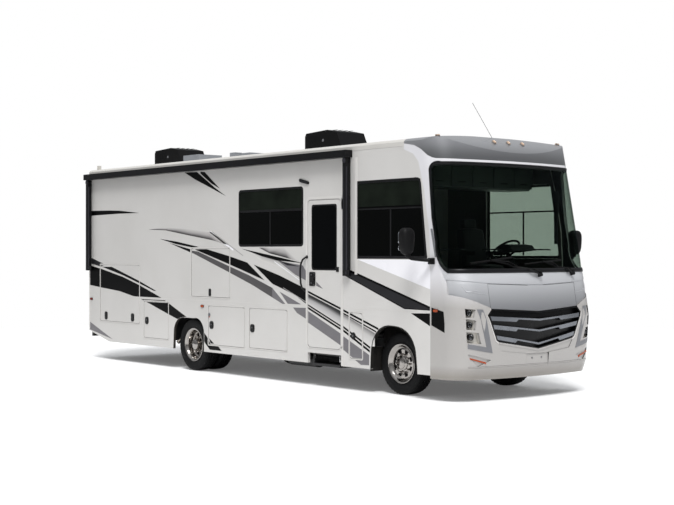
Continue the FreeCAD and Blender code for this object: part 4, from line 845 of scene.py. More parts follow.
def drape(form, side, outline, thick, lift, target, steps=14):
    """Lays a plate on the nose, from its (distance from the middle, z) outline, in upright strips."""
    longest_edge = 0.06
    outline = [(side * y, z) for y, z in outline]
    dense = []
    for a, b in zip(outline, outline[1:] + outline[:1]):
        count = max(1, round(math.dist(a, b) / longest_edge))
        dense += [between(a, b, k, count) for k in range(count)]
    cut = bmesh.new()
    cut.faces.new([cut.verts.new((0.0, y, z)) for y, z in dense])
    first, last = min(y for y, z in outline), max(y for y, z in outline)
    for k in range(1, steps):
        y = first + (last - first) * k / steps
        everything = cut.verts[:] + cut.edges[:] + cut.faces[:]
        bmesh.ops.bisect_plane(cut, geom=everything, plane_co=(0, y, 0), plane_no=(0, 1, 0))
    bmesh.ops.triangulate(cut, faces=[f for f in cut.faces if len(f.verts) > 4])
    fronts, backs = {}, {}
    cut.verts.index_update()
    for vert in cut.verts:
        here = on_nose(vert.co.y, vert.co.z, lift, target)
        backs[vert.index] = form.verts.new(here)
        fronts[vert.index] = form.verts.new(here + Vector((thick, 0.0, 0.0)))
    for face in cut.faces:
        ring = [v.index for v in face.verts]
        if face.normal.x < 0:
            ring = ring[::-1]
        form.faces.new([fronts[i] for i in ring])
        form.faces.new([backs[i] for i in ring[::-1]])
    for edge in cut.edges:
        if len(edge.link_faces) == 1:
            a, b = (v.index for v in edge.verts)
            form.faces.new((backs[a], backs[b], fronts[b], fronts[a]))
    cut.free()
    bmesh.ops.recalc_face_normals(form, faces=form.faces)


# grey insert on each pillar, beside the windshield
# A calm mid grey between the glass and the white cap
pillar_grey = grainy("ABS trim, satin grey", "6b6c70", "7a7b7f", 0.4, 200.0, 2.0, 0.1)
for name, side in SIDES:
    form = bmesh.new()
    outline = [(AXLE_X + x, z) for x, z in ((0.800, 2.205), (0.836, 2.205), (0.930, 1.842), (0.882, 1.842))]
    prism(form, outline, side * (WALL_Y + 0.0003), side * (WALL_Y + 0.003))
    soften(form, 0.001)
    piece("pillar_insert_" + name, form, "coach", pillar_grey)
# creased styling line pressed into each end of the silver belt
for name, side in SIDES:
    form = bmesh.new()
    fork = (1.133, 1.408)
    for a, b in (((1.165, 1.476), fork), (fork, (0.865, 1.370)), (fork, (0.990, 1.418))):
        line = [between(a, b, k, 6) for k in range(7)]
        shell_tube(form, [on_nose(side * y, z, 0.0006) for y, z in line], 0.006, 8)
    piece("belt_crease_" + name, form, "coach", silver_paint)
# rolled lip along the apron's lower edge
cap_target = surface_tree("front_cap")
form = bmesh.new()
lip = [on_nose(-1.12 + 2.24 * k / 48, 0.455, 0.001, cap_target) for k in range(49)]
shell_tube(form, lip, 0.007, 8)
piece("apron_lip", form, "coach", cap_paint)


# ---- clearance lamps -----------------------------------------------------------------------------
# Five pale amber marker lamps on the brow and amber or red side markers, moulded acrylic lenses on
# screwed bases. The round water inlet on the curb side is made here too.
# Deep orange that gleams like moulded plastic
amber_lens = grainy("acrylic lens, amber", "b04a1c", "8a3512", 0.2, 15.0, 2.0, 0.4)
# Deep red that gleams like moulded plastic
red_lens = grainy("acrylic lens, red", "7c1a10", "5a120b", 0.2, 15.0, 2.0, 0.4)
look = Vector((-1.15, 0.0, -0.85)).normalized()
form = bmesh.new()
for y, start in ((-1.145, 1.60), (-0.27, 1.82), (0.0, 1.82), (0.27, 1.82), (1.145, 1.60)):
    spot, normal, _, _ = cap_target.ray_cast(Vector((AXLE_X + start, y, 4.0)), look)
    tilt = Matrix.Translation(spot) @ normal.to_track_quat("Z", "Y").to_matrix().to_4x4()
    for low, high, material in (((-0.020, -0.034, -0.002), (0.020, 0.034, 0.008), 0),
                                ((-0.017, -0.030, 0.006), (0.017, 0.030, 0.024), 1)):
        faces = slab(form, low, high, material)
        bmesh.ops.transform(form, matrix=tilt, verts=list({v for f in faces for v in f.verts}))
soften(form, 0.004)
# Washed-out amber, paler than the markers on the sides
pale_lens = grainy("acrylic lens, pale amber", "f0d6bc", "e0b48c", 0.2, 15.0, 2.0, 0.4)
piece("brow_clearance_lamps", form, "coach", pillar_grey, pale_lens)
for name, side in SIDES:
    for where, x, z, lens in (("front", 0.901, 1.160, amber_lens), ("rear", -8.100, 1.070, red_lens),
                              ("mid", -4.480, 1.050, amber_lens)):
        form = bmesh.new()
        x, y = AXLE_X + x, side * (WALL_Y + 0.0012)
        base = rounded(x - 0.044, x + 0.044, z - 0.021, z + 0.021, 0.018)
        dome = rounded(x - 0.038, x + 0.038, z - 0.016, z + 0.016, 0.014)
        prism(form, base, y, y + side * 0.006)
        prism(form, dome, y + side * 0.005, y + side * 0.015, 1)
        soften(form, 0.003)
        piece("%s_side_marker_%s" % (where, name), form, "coach", latch_black, lens)
form = bmesh.new()
x, y = AXLE_X - 4.28, -WALL_Y
disc(form, x, 0.925, 0.026, y - 0.0003, y - 0.010, 20, 0)
disc(form, x, 0.925, 0.014, y - 0.0095, y - 0.020, 20, 1)
slab(form, (x - 0.018, y - 0.0003, 0.882), (x + 0.018, y - 0.006, 0.893), 2)
soften(form, 0.0015)
piece("city_water_inlet", form, "coach", pillar_grey, key_steel, amber_lens)


# ---- windshield and wipers -----------------------------------------------------------------------
# One-piece curved laminated glass, held in a black extruded rubber gasket. Two pantograph wipers of
# powder-coated steel are parked low, on spindles through the cap.
# Clear, cool glass with the sky lying weakly across it
wind_glass = sheet_glass("laminated windshield, green tint", "d2d9d4", "4c5356")
finish_node("windshield", wind_glass)


def border(node):
    """The outer border of a curved pane, as a closed list of points."""
    crease = math.radians(55.0)
    pane = bmesh.new()
    pane.from_mesh(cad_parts[node].data)
    bmesh.ops.remove_doubles(pane, verts=pane.verts, dist=0.0005)
    left = [e for e in pane.edges if len(e.link_faces) == 2 and e.calc_face_angle() > crease]

    def spot(co):
        return [round(c, 5) for c in co]

    left.sort(key=lambda e: (-round(e.calc_length(), 5), spot(e.verts[0].co + e.verts[1].co)))
    loops = []
    while left:
        edge = left.pop(0)
        start, here = sorted(edge.verts, key=lambda v: spot(v.co))
        loop = [start.co.copy(), here.co.copy()]
        while here is not start:
            following = [e for e in here.link_edges if e in left]
            if not following:
                break
            ahead = (loop[-1] - loop[-2]).normalized()
            turns = {e: ahead.dot((e.other_vert(here).co - here.co).normalized()) for e in following}
            edge = max(following, key=lambda e: round(turns[e], 5))
            left.remove(edge)
            here = edge.other_vert(here)
            loop.append(here.co.copy())
        loops.append(loop)
    pane.free()
    return max(loops, key=lambda loop: sum((b - a).length for a, b in zip(loop, loop[1:])))


# A soft black outline around the big panes
gasket_rubber = grainy("EPDM gasket, extruded black", "0c0c0d", "17171a", 0.35, 90.0, 2.0, 0.1, shine=0.2)
form = bmesh.new()
edge_points = border("windshield")[:-1]
inner_side = Vector((AXLE_X + 0.5, 0.0, 2.35))
loops = []
for offset, lift in ((-0.006, 0.004), (0.0, 0.010), (0.022, 0.008), (0.046, 0.0025), (0.050, -0.002)):
    loop = []
    for i, here in enumerate(edge_points):
        before, after = edge_points[i - 1], edge_points[(i + 1) % len(edge_points)]
        along = (after - before).normalized()
        outward = Vector((here.x - inner_side.x, here.y * 0.35, 0.0)).normalized()
        inward = along.cross(outward).normalized()
        if inward.dot(inner_side - here) < 0:
            inward = -inward
        loop.append(form.verts.new(here + inward * offset + outward * lift))
    loops.append(loop)
for a, b in zip(loops, loops[1:]):
    bridge(form, a, b)
bmesh.ops.recalc_face_normals(form, faces=form.faces)
piece("windshield_gasket", form, "coach", gasket_rubber, sharp=60.0)

# Black arms, just told apart from the glass by a soft sheen
wiper_black = grainy("steel, powder coated satin black", "050506", "0c0c0d", 0.45, 50.0, 2.0, 0.15,
                     shine=0.25)
for name, pivot, elbow, tip, blade in (
        ("wiper_curb", (0.079, 1.600), (-0.30, 1.745), (-0.62, 1.800), ((-0.98, 1.760), (-0.22, 1.835))),
        ("wiper_road", (0.783, 1.612), (0.55, 1.735), (0.36, 1.780), ((0.02, 1.745), (0.74, 1.800)))):
    form = bmesh.new()
    for offset in (0.0, 0.035):
        arm = []
        for k in range(5):
            y, z = between((pivot[0], pivot[1] + offset), (elbow[0], elbow[1] + offset), k, 4)
            arm.append(on_nose(y, z, 0.045))
        for k in range(1, 5):
            y, z = between((elbow[0], elbow[1] + offset), tip, k, 4)
            arm.append(on_nose(y, z, 0.040))
        shell_tube(form, arm, 0.012, 8)
    line = [on_nose(*between(*blade, k, 12), 0.026) for k in range(13)]
    shell_tube(form, line, 0.014, 8)
    shell_tube(form, [p - Vector((0.012, 0.0, 0.002)) for p in line], 0.006, 6, 1)
    for offset in (0.0, 0.035):
        here = on_nose(pivot[0], pivot[1] + offset, 0.0)
        spindle = [here, here + Vector((0.030, 0, 0.008)), here + Vector((0.058, 0, 0.014))]
        shell_tube(form, spindle, 0.021, 16)
    piece(name, form, "coach", wiper_black, gasket_rubber)


# ---- grille and lamps ----------------------------------------------------------------------------
# A moulded black grille with three gunmetal V bars that step down at a jog. Three projector lamps a
# side sit in warm white pockets, beside a grey L-shaped trim, over a thin amber signal bar.
# Gloss black, so that the openings read as depth
grille_black = grainy("ABS, moulded gloss black", "09090a", "131315", 0.3, 150.0, 2.0, 0.1, shine=0.2)
finish_node("grille", grille_black)
# Blue-grey metal bars with a soft sheen
gunmetal = grainy("ABS, gunmetal metallic paint", "85888e", "6a6d72", 0.25, 160.0, 2.0, 0.1, 0.5)
bar_target = surface_tree("grille")
half_bar = 0.88
form = bmesh.new()
for mid_z, rise, reach in ((1.045, 0.055, 0.845), (0.903, 0.095, 0.800), (0.735, 0.140, 0.745)):
    for side in (-1, 1):
        jog = 0.42 / half_bar * rise
        end = mid_z + rise * reach / half_bar
        half = [(0.0, mid_z - 0.003), (0.0, mid_z - 0.027), (0.387, mid_z + jog * 0.99 - 0.027),
                (0.423, mid_z + jog - 0.056), (reach - 0.02, end - 0.057), (reach, end - 0.003)]
        drape(form, side, half, 0.004, 0.0006, bar_target)
soften(form, 0.0012)
piece("grille_bar_faces", form, "coach", gunmetal)
# Warm white pockets that let the dark bowls stand out
lamp_housing = grainy("ABS lamp bezel, warm white", "d6d3cd", "c4c0b8", 0.3, 90.0, 2.0, 0.1)
finish_node("headlamps", lamp_housing)
# A clear, bright eye in each lamp
lens_glass = sheet_glass("projector lens, clear", "e8ecec", "d0d4d8")
# A hard, bright ring around each lens
chrome = grainy("chrome plate, bright", "e2e2e4", "b8b8bc", 0.08, 25.0, 3.0, 0.05, 1.0)
# Glossy black depth behind the lens
lamp_bowl = grainy("lamp bowl, moulded black", "0d0d0e", "1c1c1e", 0.25, 30.0, 2.0, 0.1)


def lathe_x(form, profile, centre, steps=32, material=0):
    """Turns an outline of (distance forward, radius) about an axis along x."""
    rings = []
    for k in range(steps):
        a = 2.0 * math.pi * k / steps
        across, up = math.cos(a), math.sin(a)
        rings.append([form.verts.new((centre[0] + d, centre[1] + r * across, centre[2] + r * up))
                      for d, r in profile])
    for here, there in zip(rings, rings[1:] + rings[:1]):
        for i in range(len(profile) - 1):
            form.faces.new((here[i], there[i], there[i + 1], here[i + 1])).material_index = material


for name, side in SIDES:
    form = bmesh.new()
    for y, z in ((1.112, 1.141), (1.112, 0.992), (1.092, 0.836)):
        back = on_nose(side * y, z)
        centre = (back.x + 0.034, side * y, z)
        for material, profile in (
                (0, [(-0.033, 0.038), (0.0, 0.040)]),
                (0, [(0.0, 0.040), (0.016, 0.040), (0.018, 0.037), (0.010, 0.033), (0.006, 0.031)]),
                (1, [(0.006, 0.031), (0.004, 0.026), (0.010, 0.0245), (0.013, 0.023)]),
                (2, [(0.010, 0.0235), (0.019, 0.020), (0.025, 0.013), (0.0275, 0.0005)]),
                (0, [(0.006, 0.022), (0.007, 0.001)])):
            lathe_x(form, profile, centre, material=material)
        for k in (-1, 1):
            slab(form, (back.x + 0.0005, side * (y - 0.058) - 0.004, z + k * 0.018 - 0.0015),
                 (back.x + 0.004, side * (y - 0.058) + 0.004, z + k * 0.018 + 0.0015))
    piece("headlamp_projectors_" + name, form, "coach", lamp_bowl, chrome, lens_glass)
    form = bmesh.new()
    for outline in ([(1.040, 1.188), (0.950, 1.183), (0.792, 0.628), (0.892, 0.706)],
                    [(0.892, 0.706), (0.792, 0.628), (1.142, 0.692), (1.146, 0.752)]):
        drape(form, side, outline, 0.0035, 0.0006, cap_target, 24)
    piece("lamp_surround_trim_" + name, form, "coach", pillar_grey)
    form = bmesh.new()
    outline = [(1.116, 0.578), (1.108, 0.556), (0.882, 0.494), (0.878, 0.514)]
    drape(form, side, outline, 0.010, 0.0006, cap_target)
    soften(form, 0.002)
    piece("turn_signal_bar_" + name, form, "coach", amber_lens)
    form = bmesh.new()
    outline = [(0.893, 1.108), (0.902, 1.110), (0.755, 0.775), (0.700, 0.742), (0.700, 0.758), (0.744, 0.789)]
    drape(form, side, outline, 0.006, 0.0004, cap_target)
    soften(form, 0.001)
    piece("grille_corner_trim_" + name, form, "coach", trim_paint)
form = bmesh.new()
for y in (-0.089, 0.089):
    seat_at = (AXLE_X + 1.4462, y, 0.538)
    lathe_x(form, [(0.0, 0.011), (0.004, 0.011), (0.006, 0.008), (0.006, 0.0005)], seat_at, 6)
    lathe_x(form, [(0.0, 0.014), (0.0015, 0.014), (0.0015, 0.010)], seat_at, 20)
piece("front_plate_bolts", form, "coach", key_steel)


# ---- cab -----------------------------------------------------------------------------------------
# A moulded dashboard with a hooded cluster and air outlets, a leather-rimmed wheel, two high-backed
# captain's chairs, a cupboard across the cab and folded night curtains beside the windshield.
# Dark and soft, without a reflection in the glass above it
dash_trim = grainy("dashboard, moulded soft-touch black", "17181a", "202225", 0.55, 160.0, 1.5, 0.5)
finish_node("dashboard", dash_trim)
finish_node("steering_wheel", grainy("leather, black, stitched rim", "131314", "1c1c1e", 0.5, 40.0, 1.2, 0.6))
# Dark green-grey wood with streaks along the grain
cabinet_wood, tree, out = blank_material("cabinet laminate, dark walnut")
place = add(tree, "TexCoord").outputs["Object"]
stretch = add(tree, "Mapping", {"Vector": place, "Scale": (30.0, 1.5, 30.0)})
streaks = add(tree, "TexNoise", {"Vector": stretch, "Scale": 2.0, "Detail": 7.0, "Distortion": 0.6})
tint = add(tree, "Mix", {0: streaks, 6: linear("2e3430"), 7: linear("4a524c")}, data_type="RGBA").outputs[2]
body = add(tree, "BsdfPrincipled", {"Base Color": tint, "Roughness": 0.4})
tree.links.new(body.outputs[0], out.inputs["Surface"])
finish_node("overhead_cabinet", cabinet_wood)
lo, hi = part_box("overhead_cabinet")
form = bmesh.new()
for y0, y1 in ((-1.20, -0.82), (-0.80, -0.41), (-0.39, 0.0), (0.02, 0.41), (0.43, 0.82), (0.84, 1.20)):
    slab(form, (hi.x, y0, lo.z + 0.02), (hi.x + 0.016, y1, lo.z + 0.30))
    mid = (y0 + y1) / 2
    slab(form, (hi.x + 0.0155, mid - 0.07, lo.z + 0.075), (hi.x + 0.020, mid + 0.07, lo.z + 0.09), 1)
soften(form, 0.003)
piece("overhead_cabinet_doors", form, "coach", cabinet_wood, latch_black)
form = bmesh.new()
lo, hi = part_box("dashboard")
for y in (-0.95, -0.55, 0.0, 0.98):
    outline = [(hi.x - 0.62, 1.932), (hi.x - 0.46, 1.932), (hi.x - 0.46, 1.946), (hi.x - 0.62, 1.946)]
    prism(form, outline, y - 0.11, y + 0.11)
    for k in range(5):
        x = hi.x - 0.605 + 0.030 * k
        slab(form, (x, y - 0.10, 1.945), (x + 0.006, y + 0.10, 1.951))
hood = [(hi.x - x, z) for x, z in ((0.80, 1.90), (0.78, 1.985), (0.70, 2.015), (0.56, 2.00), (0.50, 1.93))]
prism(form, hood, 0.36, 0.82)
soften(form, 0.006)
piece("dashboard_vents_and_cluster_hood", form, "coach", dash_trim)


def cushion(form, low, high, crown, pull, lean=0.0, seams=()):
    """A crowned pad whose sides pull in between the corners. Seams are (y, depth) of sewn channels."""
    size = Vector(high) - Vector(low)
    middle = (Vector(high) + Vector(low)) / 2
    seam_half = 0.012
    on_face = 0.99
    ball = bmesh.new()
    bmesh.ops.create_cube(ball, size=2.0)
    bmesh.ops.subdivide_edges(ball, edges=ball.edges[:], cuts=18, use_grid_fill=True)
    made = {}
    for vert in ball.verts:
        u, v, w = vert.co
        taper = [1.0 - 0.05 * (abs(a) ** 6 + abs(b) ** 6) for a, b in ((v, w), (w, u), (u, v))]
        p = Vector([c * size[i] / 2 * taper[i] for i, c in enumerate((u, v, w))])
        if abs(w) > on_face:
            p.z += math.copysign(crown * ((1 - u * u) * (1 - v * v)), w)
        if abs(u) > on_face:
            p.x += math.copysign((crown * 0.8) * (1 - v * v) * (1 - w * w), u)
        if abs(v) > on_face:
            p.y -= math.copysign(pull * (1 - u * u) * (1 - w * w), v)
        for seam_y, depth in seams:
            away = abs(p.y - seam_y)
            if away < seam_half:
                p *= 1.0 - depth * (1 - away / seam_half)
        p.x -= lean * p.z
        made[vert] = form.verts.new(middle + p)
    for face in ball.faces:
        form.faces.new([made[v] for v in face.verts])
    ball.free()


# Dark grey hide with a fine grain and soft highlights
seat_leather = grainy("leather, dark grey, sewn", "1d1e20", "26272a", 0.5, 60.0, 2.5, 0.5)
for name, side in (("passenger", -1), ("driver", 1)):
    y = side * 0.62
    form = bmesh.new()
    cushion(form, (2.90, y - 0.225, 1.55), (3.43, y + 0.225, 1.72), 0.022, 0.010, 0.0,
            ((-0.11, 0.05), (0.11, 0.05)))
    cushion(form, (2.90, y - 0.215, 1.70), (3.06, y + 0.215, 2.24), 0.012, 0.012, 0.16,
            ((-0.10, 0.04), (0.10, 0.04)))
    cushion(form, (2.86, y - 0.125, 2.20), (2.96, y + 0.125, 2.38), 0.010, 0.008, 0.1)
    seat = piece("%s_seat_cushions" % name, form, "coach", seat_leather, sharp=60.0)
    form = bmesh.new()
    slab(form, (3.0, y - 0.15, 1.142), (3.34, y + 0.15, 1.30))
    slab(form, (2.98, y - 0.17, 1.30), (3.36, y + 0.17, 1.345))
    slab(form, (2.92, y - 0.20, 1.50), (3.41, y + 0.20, 1.548))
    for offset in (-0.11, 0.11):
        slab(form, (3.06, y + offset - 0.02, 1.345), (3.28, y + offset + 0.02, 1.50))
    for arm in (-0.255, 0.255):
        slab(form, (3.00, y + arm - 0.026, 1.86), (3.33, y + arm + 0.026, 1.92), 1)
        slab(form, (2.99, y + arm - 0.012, 1.60), (3.03, y + arm + 0.012, 1.87))
    soften(form, 0.008)
    frame_piece = piece("%s_seat_frame" % name, form, "coach", chassis_paint, seat_leather)
    if name == "driver":
        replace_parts(frame_piece, "cab_seats")
# Very dark, dry cloth that takes no highlight
curtain = grainy("curtain, woven blackout cloth", "16181b", "22262c", 0.9, 60.0, 1.5, 0.6)
for name, side in SIDES:
    form = bmesh.new()
    columns = []
    foremost, spread = (3.94, 0.28) if side < 0 else (4.17, 0.12)
    foot, drop, pleat = 2.02, 0.74, 0.018
    for k in range(41):
        t = k / 40
        x = foremost - spread + spread * t
        y = side * (1.19 - 0.03 * t + pleat * math.sin(k * 1.25))
        columns.append([form.verts.new((x - 0.05 * (1 - w) * t, y - side * 0.02 * w, foot + drop * w))
                        for w in (0.0, 0.2, 0.4, 0.6, 0.8, 1.0)])
    for a, b in zip(columns, columns[1:]):
        for i in range(5):
            form.faces.new((a[i], b[i], b[i + 1], a[i + 1]))
    drawn = piece("cab_curtain_" + name, form, "coach", curtain, sharp=80.0)


# ---- roof ----------------------------------------------------------------------------------------
# A crowned roof under a welded pale membrane with radius edge mouldings. It carries two shrouded air
# conditioners, two dome vents, a small flue and, at the front, a whip antenna.
def box_between(a, b):
    """The low and high corners of the box between two points."""
    return [min(pair) for pair in zip(a, b)], [max(pair) for pair in zip(a, b)]


# A dull off-white sheet with faint grey patches
membrane = grainy("TPO roof membrane, welded", "d4d2ce", "bfbcb6", 0.55, 900.0, 4.0, 0.15)
finish_node("roof", membrane)
# Deep black and grained, so that its ribs show by their edges alone
shroud = grainy("polypropylene shroud, black, textured", "070708", "0e0e0f", 0.5, 200.0, 2.0, 0.3, shine=0.15)
finish_node("roof_air_conditioners", shroud)
finish_node("roof_vents", grainy("vent dome, pale grey acrylic", "9a9da2", "84878c", 0.2, 120.0, 3.0, 0.1))
finish_node("radio_antenna", grainy("spring steel, black", "2a2a2c", "3a3a3c", 0.35, 20.0, 2.0, 0.1, 0.6))
form = bmesh.new()
for x0, x1 in ((-4.255, -3.355), (0.217, 1.117)):
    for k in range(9):
        z = 3.505 + 0.024 * k
        slab(form, (x0 - 0.004, -0.21, z), (x0 + 0.03, 0.21, z + 0.010))
        for side in (-1, 1):
            y = side * 0.2685
            slab(form, *box_between((x0 + 0.10, y, z), (x0 + 0.36, y + side * 0.004, z + 0.010)))
    for side in (-1, 1):
        y = side * 0.268
        slab(form, *box_between((x0 + 0.06, y, 3.470), (x1 - 0.06, y + side * 0.003, 3.478)))
        disc(form, x0 + 0.45, 3.62, 0.022, y, y + side * 0.004, 16, 1)
    for k in range(4):
        slab(form, (x0 + 0.25, -0.16 + 0.1 * k, 3.7735), (x1 - 0.25, -0.13 + 0.1 * k, 3.7765))
soften(form, 0.0015)
piece("air_conditioner_louvres", form, "coach", shroud, pillar_grey)
form = bmesh.new()
half, wide = 0.262, 0.03
for cx, cy, top in ((-2.705, -0.25, 3.475), (-1.635, 0.06, 3.478)):
    x0, x1, y0, y1 = cx - half, cx + half, cy - half, cy + half
    for a, b, c, d in ((x0, y0, x1, y0 + wide), (x0, y1 - wide, x1, y1),
                       (x0, y0 + wide, x0 + wide, y1 - wide), (x1 - wide, y0 + wide, x1, y1 - wide)):
        slab(form, (a, b, 3.445), (c, d, top))
soften(form, 0.004)
piece("roof_vent_frames", form, "coach", lamp_housing)
form = bmesh.new()
for side in (-1, 1):
    y = side * (WALL_Y - 0.0005)
    slab(form, *box_between((-4.848, y, 3.283), (3.60, y - side * 0.004, 3.300)))
    slab(form, *box_between((-4.848, y, 3.296), (3.60, y + side * 0.004, 3.301)))
soften(form, 0.001)
piece("roof_edge_moulding", form, "coach", trim_paint)
form = bmesh.new()
slab(form, (-4.846, -1.145, 3.34), (-4.775, -1.055, 3.400))
slab(form, (-4.838, -1.128, 3.400), (-4.783, -1.072, 3.475))
soften(form, 0.012, segments=3)
piece("rear_marker_pod", form, "coach", lamp_housing)


# ---- awning --------------------------------------------------------------------------------------
# A powered patio awning: a black anodised extruded case with a fabric roll, and two folded arms down
# the wall, each bolted on at its head and its foot.
# A long black bar with a narrow, soft highlight
awning_case = grainy("aluminium extrusion, anodised black", "08080a", "0f0f12", 0.36, 400.0, 3.0, 0.06, 0.1,
                     shine=0.25)
finish_node("awning", awning_case)
# Painted highlight: paler purple-grey strips on the awning arms and their bolt heads, for the sheen on the
# black metal
awning_highlight = grainy("aluminium extrusion, painted highlight", "28272d", "38363e", 0.35, 300.0, 3.0, 0.05, 0.4)
form = bmesh.new()
for x0, x1 in ((AXLE_X - 0.872, AXLE_X - 0.732), (AXLE_X - 8.178, AXLE_X - 7.985)):
    mid = (x0 + x1) / 2
    # painted highlight strips down each arm
    for a, b, material in ((x0 + 0.004, x0 + 0.018, 1), (mid - 0.010, mid + 0.012, 1),
                           (x1 - 0.014, x1 - 0.002, 0)):
        slab(form, (a, -1.3555, 1.66), (b, -1.3495, 3.08), material)
    slab(form, (x0 + 0.01, -1.352, 1.585), (x1 - 0.01, -1.3595, 1.66))
    disc(form, mid, 1.622, 0.017, -1.359, -1.366, 20, 1)
    disc(form, mid, 3.16, 0.035, -1.3985, -1.4035, 24, 1)
soften(form, 0.0015)
piece("awning_arm_details", form, "coach", wiper_black, awning_highlight)
form = bmesh.new()
lip = [(-4.84 + 0.1, -1.385, 3.232), (-1.0, -1.385, 3.2335), (AXLE_X - 0.90, -1.385, 3.235)]
shell_tube(form, lip, 0.014, 10)
piece("awning_fabric_lip", form, "coach", gasket_rubber)


# ---- mirrors -------------------------------------------------------------------------------------
# Egg-shaped black heads on bent tube arms that bolt to the cap, each with a flat and a spot glass
# facing aft. The heads are moulded in two halves and clip over a cast bracket.
# Satin black shells with broad, weak highlights
mirror_black = grainy("ASA housing, moulded satin black", "050506", "0b0b0c", 0.5, 150.0, 2.0, 0.15,
                      shine=0.2)
# A bright pane that throws back the sky
mirror_silver = grainy("mirror glass, silvered", "cfd4d8", "c5cad0", 0.03, 400.0, 50.0, 0.02, 1.0)


def pod(form, low, high, power, taper, steps=40):
    """A moulded egg between two corners: squarer as power falls, narrower below by taper."""
    middle = [(a + b) / 2 for a, b in zip(low, high)]
    half = [(b - a) / 2 for a, b in zip(low, high)]

    def bend(value):
        return math.copysign(abs(value) ** power, value)

    rows = []
    for i in range(steps // 2 + 1):
        lift = -math.pi / 2 + math.pi * i / (steps // 2)
        up = bend(math.sin(lift))
        around = bend(math.cos(lift)) * (1.0 - taper * (1.0 - up) / 2)
        rows.append([form.verts.new((middle[0] + half[0] * around * bend(math.cos(a)),
                                     middle[1] + half[1] * around * bend(math.sin(a)),
                                     middle[2] + half[2] * up))
                     for a in (2.0 * math.pi * k / steps for k in range(steps))])
    for here, there in zip(rows, rows[1:]):
        bridge(form, here, there)
    bmesh.ops.remove_doubles(form, verts=form.verts, dist=0.0004)


form = bmesh.new()
for side in (-1, 1):
    head = box_between((AXLE_X + 0.625, side * 1.503, 1.872), (AXLE_X + 0.788, side * 1.716, 2.216))
    pod(form, *head, 0.62, 0.16)
    knee = [(0.703, 1.600, 1.900), (0.706, 1.585, 1.850), (0.720, 1.540, 1.826), (0.750, 1.450, 1.814),
            (0.800, 1.375, 1.806), (0.835, 1.330, 1.800)]
    knee = [(AXLE_X + x, side * y, z) for x, y, z in knee]
    shell_tube(form, knee, 0.024, 16)
    shell_tube(form, knee[:2], 0.036, 16)
    slab(form, *box_between((AXLE_X + 0.802, side * 1.284, 1.750), (AXLE_X + 0.884, side * 1.336, 1.832)))
soften(form, 0.004, 50.0)
bmesh.ops.recalc_face_normals(form, faces=form.faces)
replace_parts(piece("mirror_housings", form, "coach", mirror_black, sharp=60.0), "mirrors")
for name, side in SIDES:
    form = bmesh.new()
    for z0, z1 in ((2.010, 2.165), (1.925, 1.990)):
        outline = rounded(-0.072, 0.072, z0, z1, 0.03, 4)
        near, far = ([form.verts.new((AXLE_X + x, side * (1.610 + y), z)) for y, z in outline]
                     for x in (0.6330, 0.6262))
        form.faces.new(far)
        form.faces.new(near[::-1])
        bridge(form, near, far)
    bmesh.ops.recalc_face_normals(form, faces=form.faces)
    piece("mirror_glass_" + name, form, "coach", mirror_silver)


# ---- tail ----------------------------------------------------------------------------------------
# Red tail lamps, moulded acrylic, each in a black bezel with two bars across the lens. They are screwed
# to the back wall.
finish_node("tail_lamps", red_lens)
form = bmesh.new()
for side in (-1, 1):
    for y0, z0, y1, z1 in ((1.030, 0.868, 1.190, 0.880), (1.030, 1.260, 1.190, 1.272),
                           (1.030, 0.88, 1.040, 1.26), (1.180, 0.88, 1.190, 1.26)):
        slab(form, (-4.8495, side * y0, z0), (-4.842, side * y1, z1))
    for z in (1.005, 1.135):
        slab(form, (-4.8495, side * 1.040, z - 0.004), (-4.8465, side * 1.180, z + 0.004))
soften(form, 0.001)
piece("tail_lamp_bezels", form, "coach", latch_black)


# ---- graphics ------------------------------------------------------------------------------------
# Cut vinyl film in black, two greys and printed fades sweeps along both sides. It is trimmed back from
# every door edge, so each door carries its own share.
def film(name, colour, dark, rough=0.32, shine=0.2):
    """Plain cut film."""
    return grainy(name, colour, dark, rough, 300.0, 3.0, 0.04, shine=shine)


def printed_fade(name, stops):
    """Film printed with a blend across the band, from its lower edge (0) to its upper edge (1)."""
    made, tree, out = blank_material(name)
    across = add(tree, "SeparateXYZ", {0: add(tree, "UVMap", uv_map="band")}).outputs[1]
    ramp = add(tree, "ValToRGB", {0: across})
    elements = ramp.color_ramp.elements
    while len(elements) < len(stops):
        elements.new(0.5)
    for element, (place_at, colour) in zip(elements, stops):
        element.position = place_at
        element.color = linear(colour)
    body = add(tree, "BsdfPrincipled", {"Base Color": ramp, "Roughness": 0.3})
    tree.links.new(body.outputs[0], out.inputs["Surface"])
    return made


films = {
    "black": film("vinyl film, gloss black", "020202", "040405", shine=0.08),
    "soft black": film("vinyl film, satin black", "1a1a1c", "222225", 0.4),
    "dark grey": film("vinyl film, charcoal", "4b494a", "565455"),
    "grey": film("vinyl film, metallic grey", "6b696c", "777578"),
    "pale": film("vinyl film, silver", "9c9a99", "a9a7a6"),
    "white": film("vinyl film, white", "f3f2f5", "eae9ee", 0.25),
    "fade up": printed_fade("vinyl film, printed fade to the wall above", (
        (0.0, "1c1b1c"), (0.12, "4a4848"), (0.45, "a19e9d"), (1.0, "cac8c5"))),
    "fade down": printed_fade("vinyl film, printed fade to the wall below", (
        (0.0, "d0ceca"), (0.7, "b3b1af"), (1.0, "8a8887"))),
    "chrome fade": printed_fade("vinyl film, printed black to silver", (
        (0.0, "c4c2c1"), (0.45, "a5a3a3"), (0.72, "3a393a"), (0.85, "060606"))),
    "silver fade": printed_fade("vinyl film, printed silver", (
        (0.0, "d3d1ce"), (0.6, "bdbbb9"), (1.0, "6d6b6b"))),
}


def bar_band(x0, z0, x1, z1, thick):
    """Upper and lower edges of a straight stripe, upper edge given."""
    return ((x0, z0), (x1, z1)), ((x0, z0 - thick), (x1, z1 - thick))


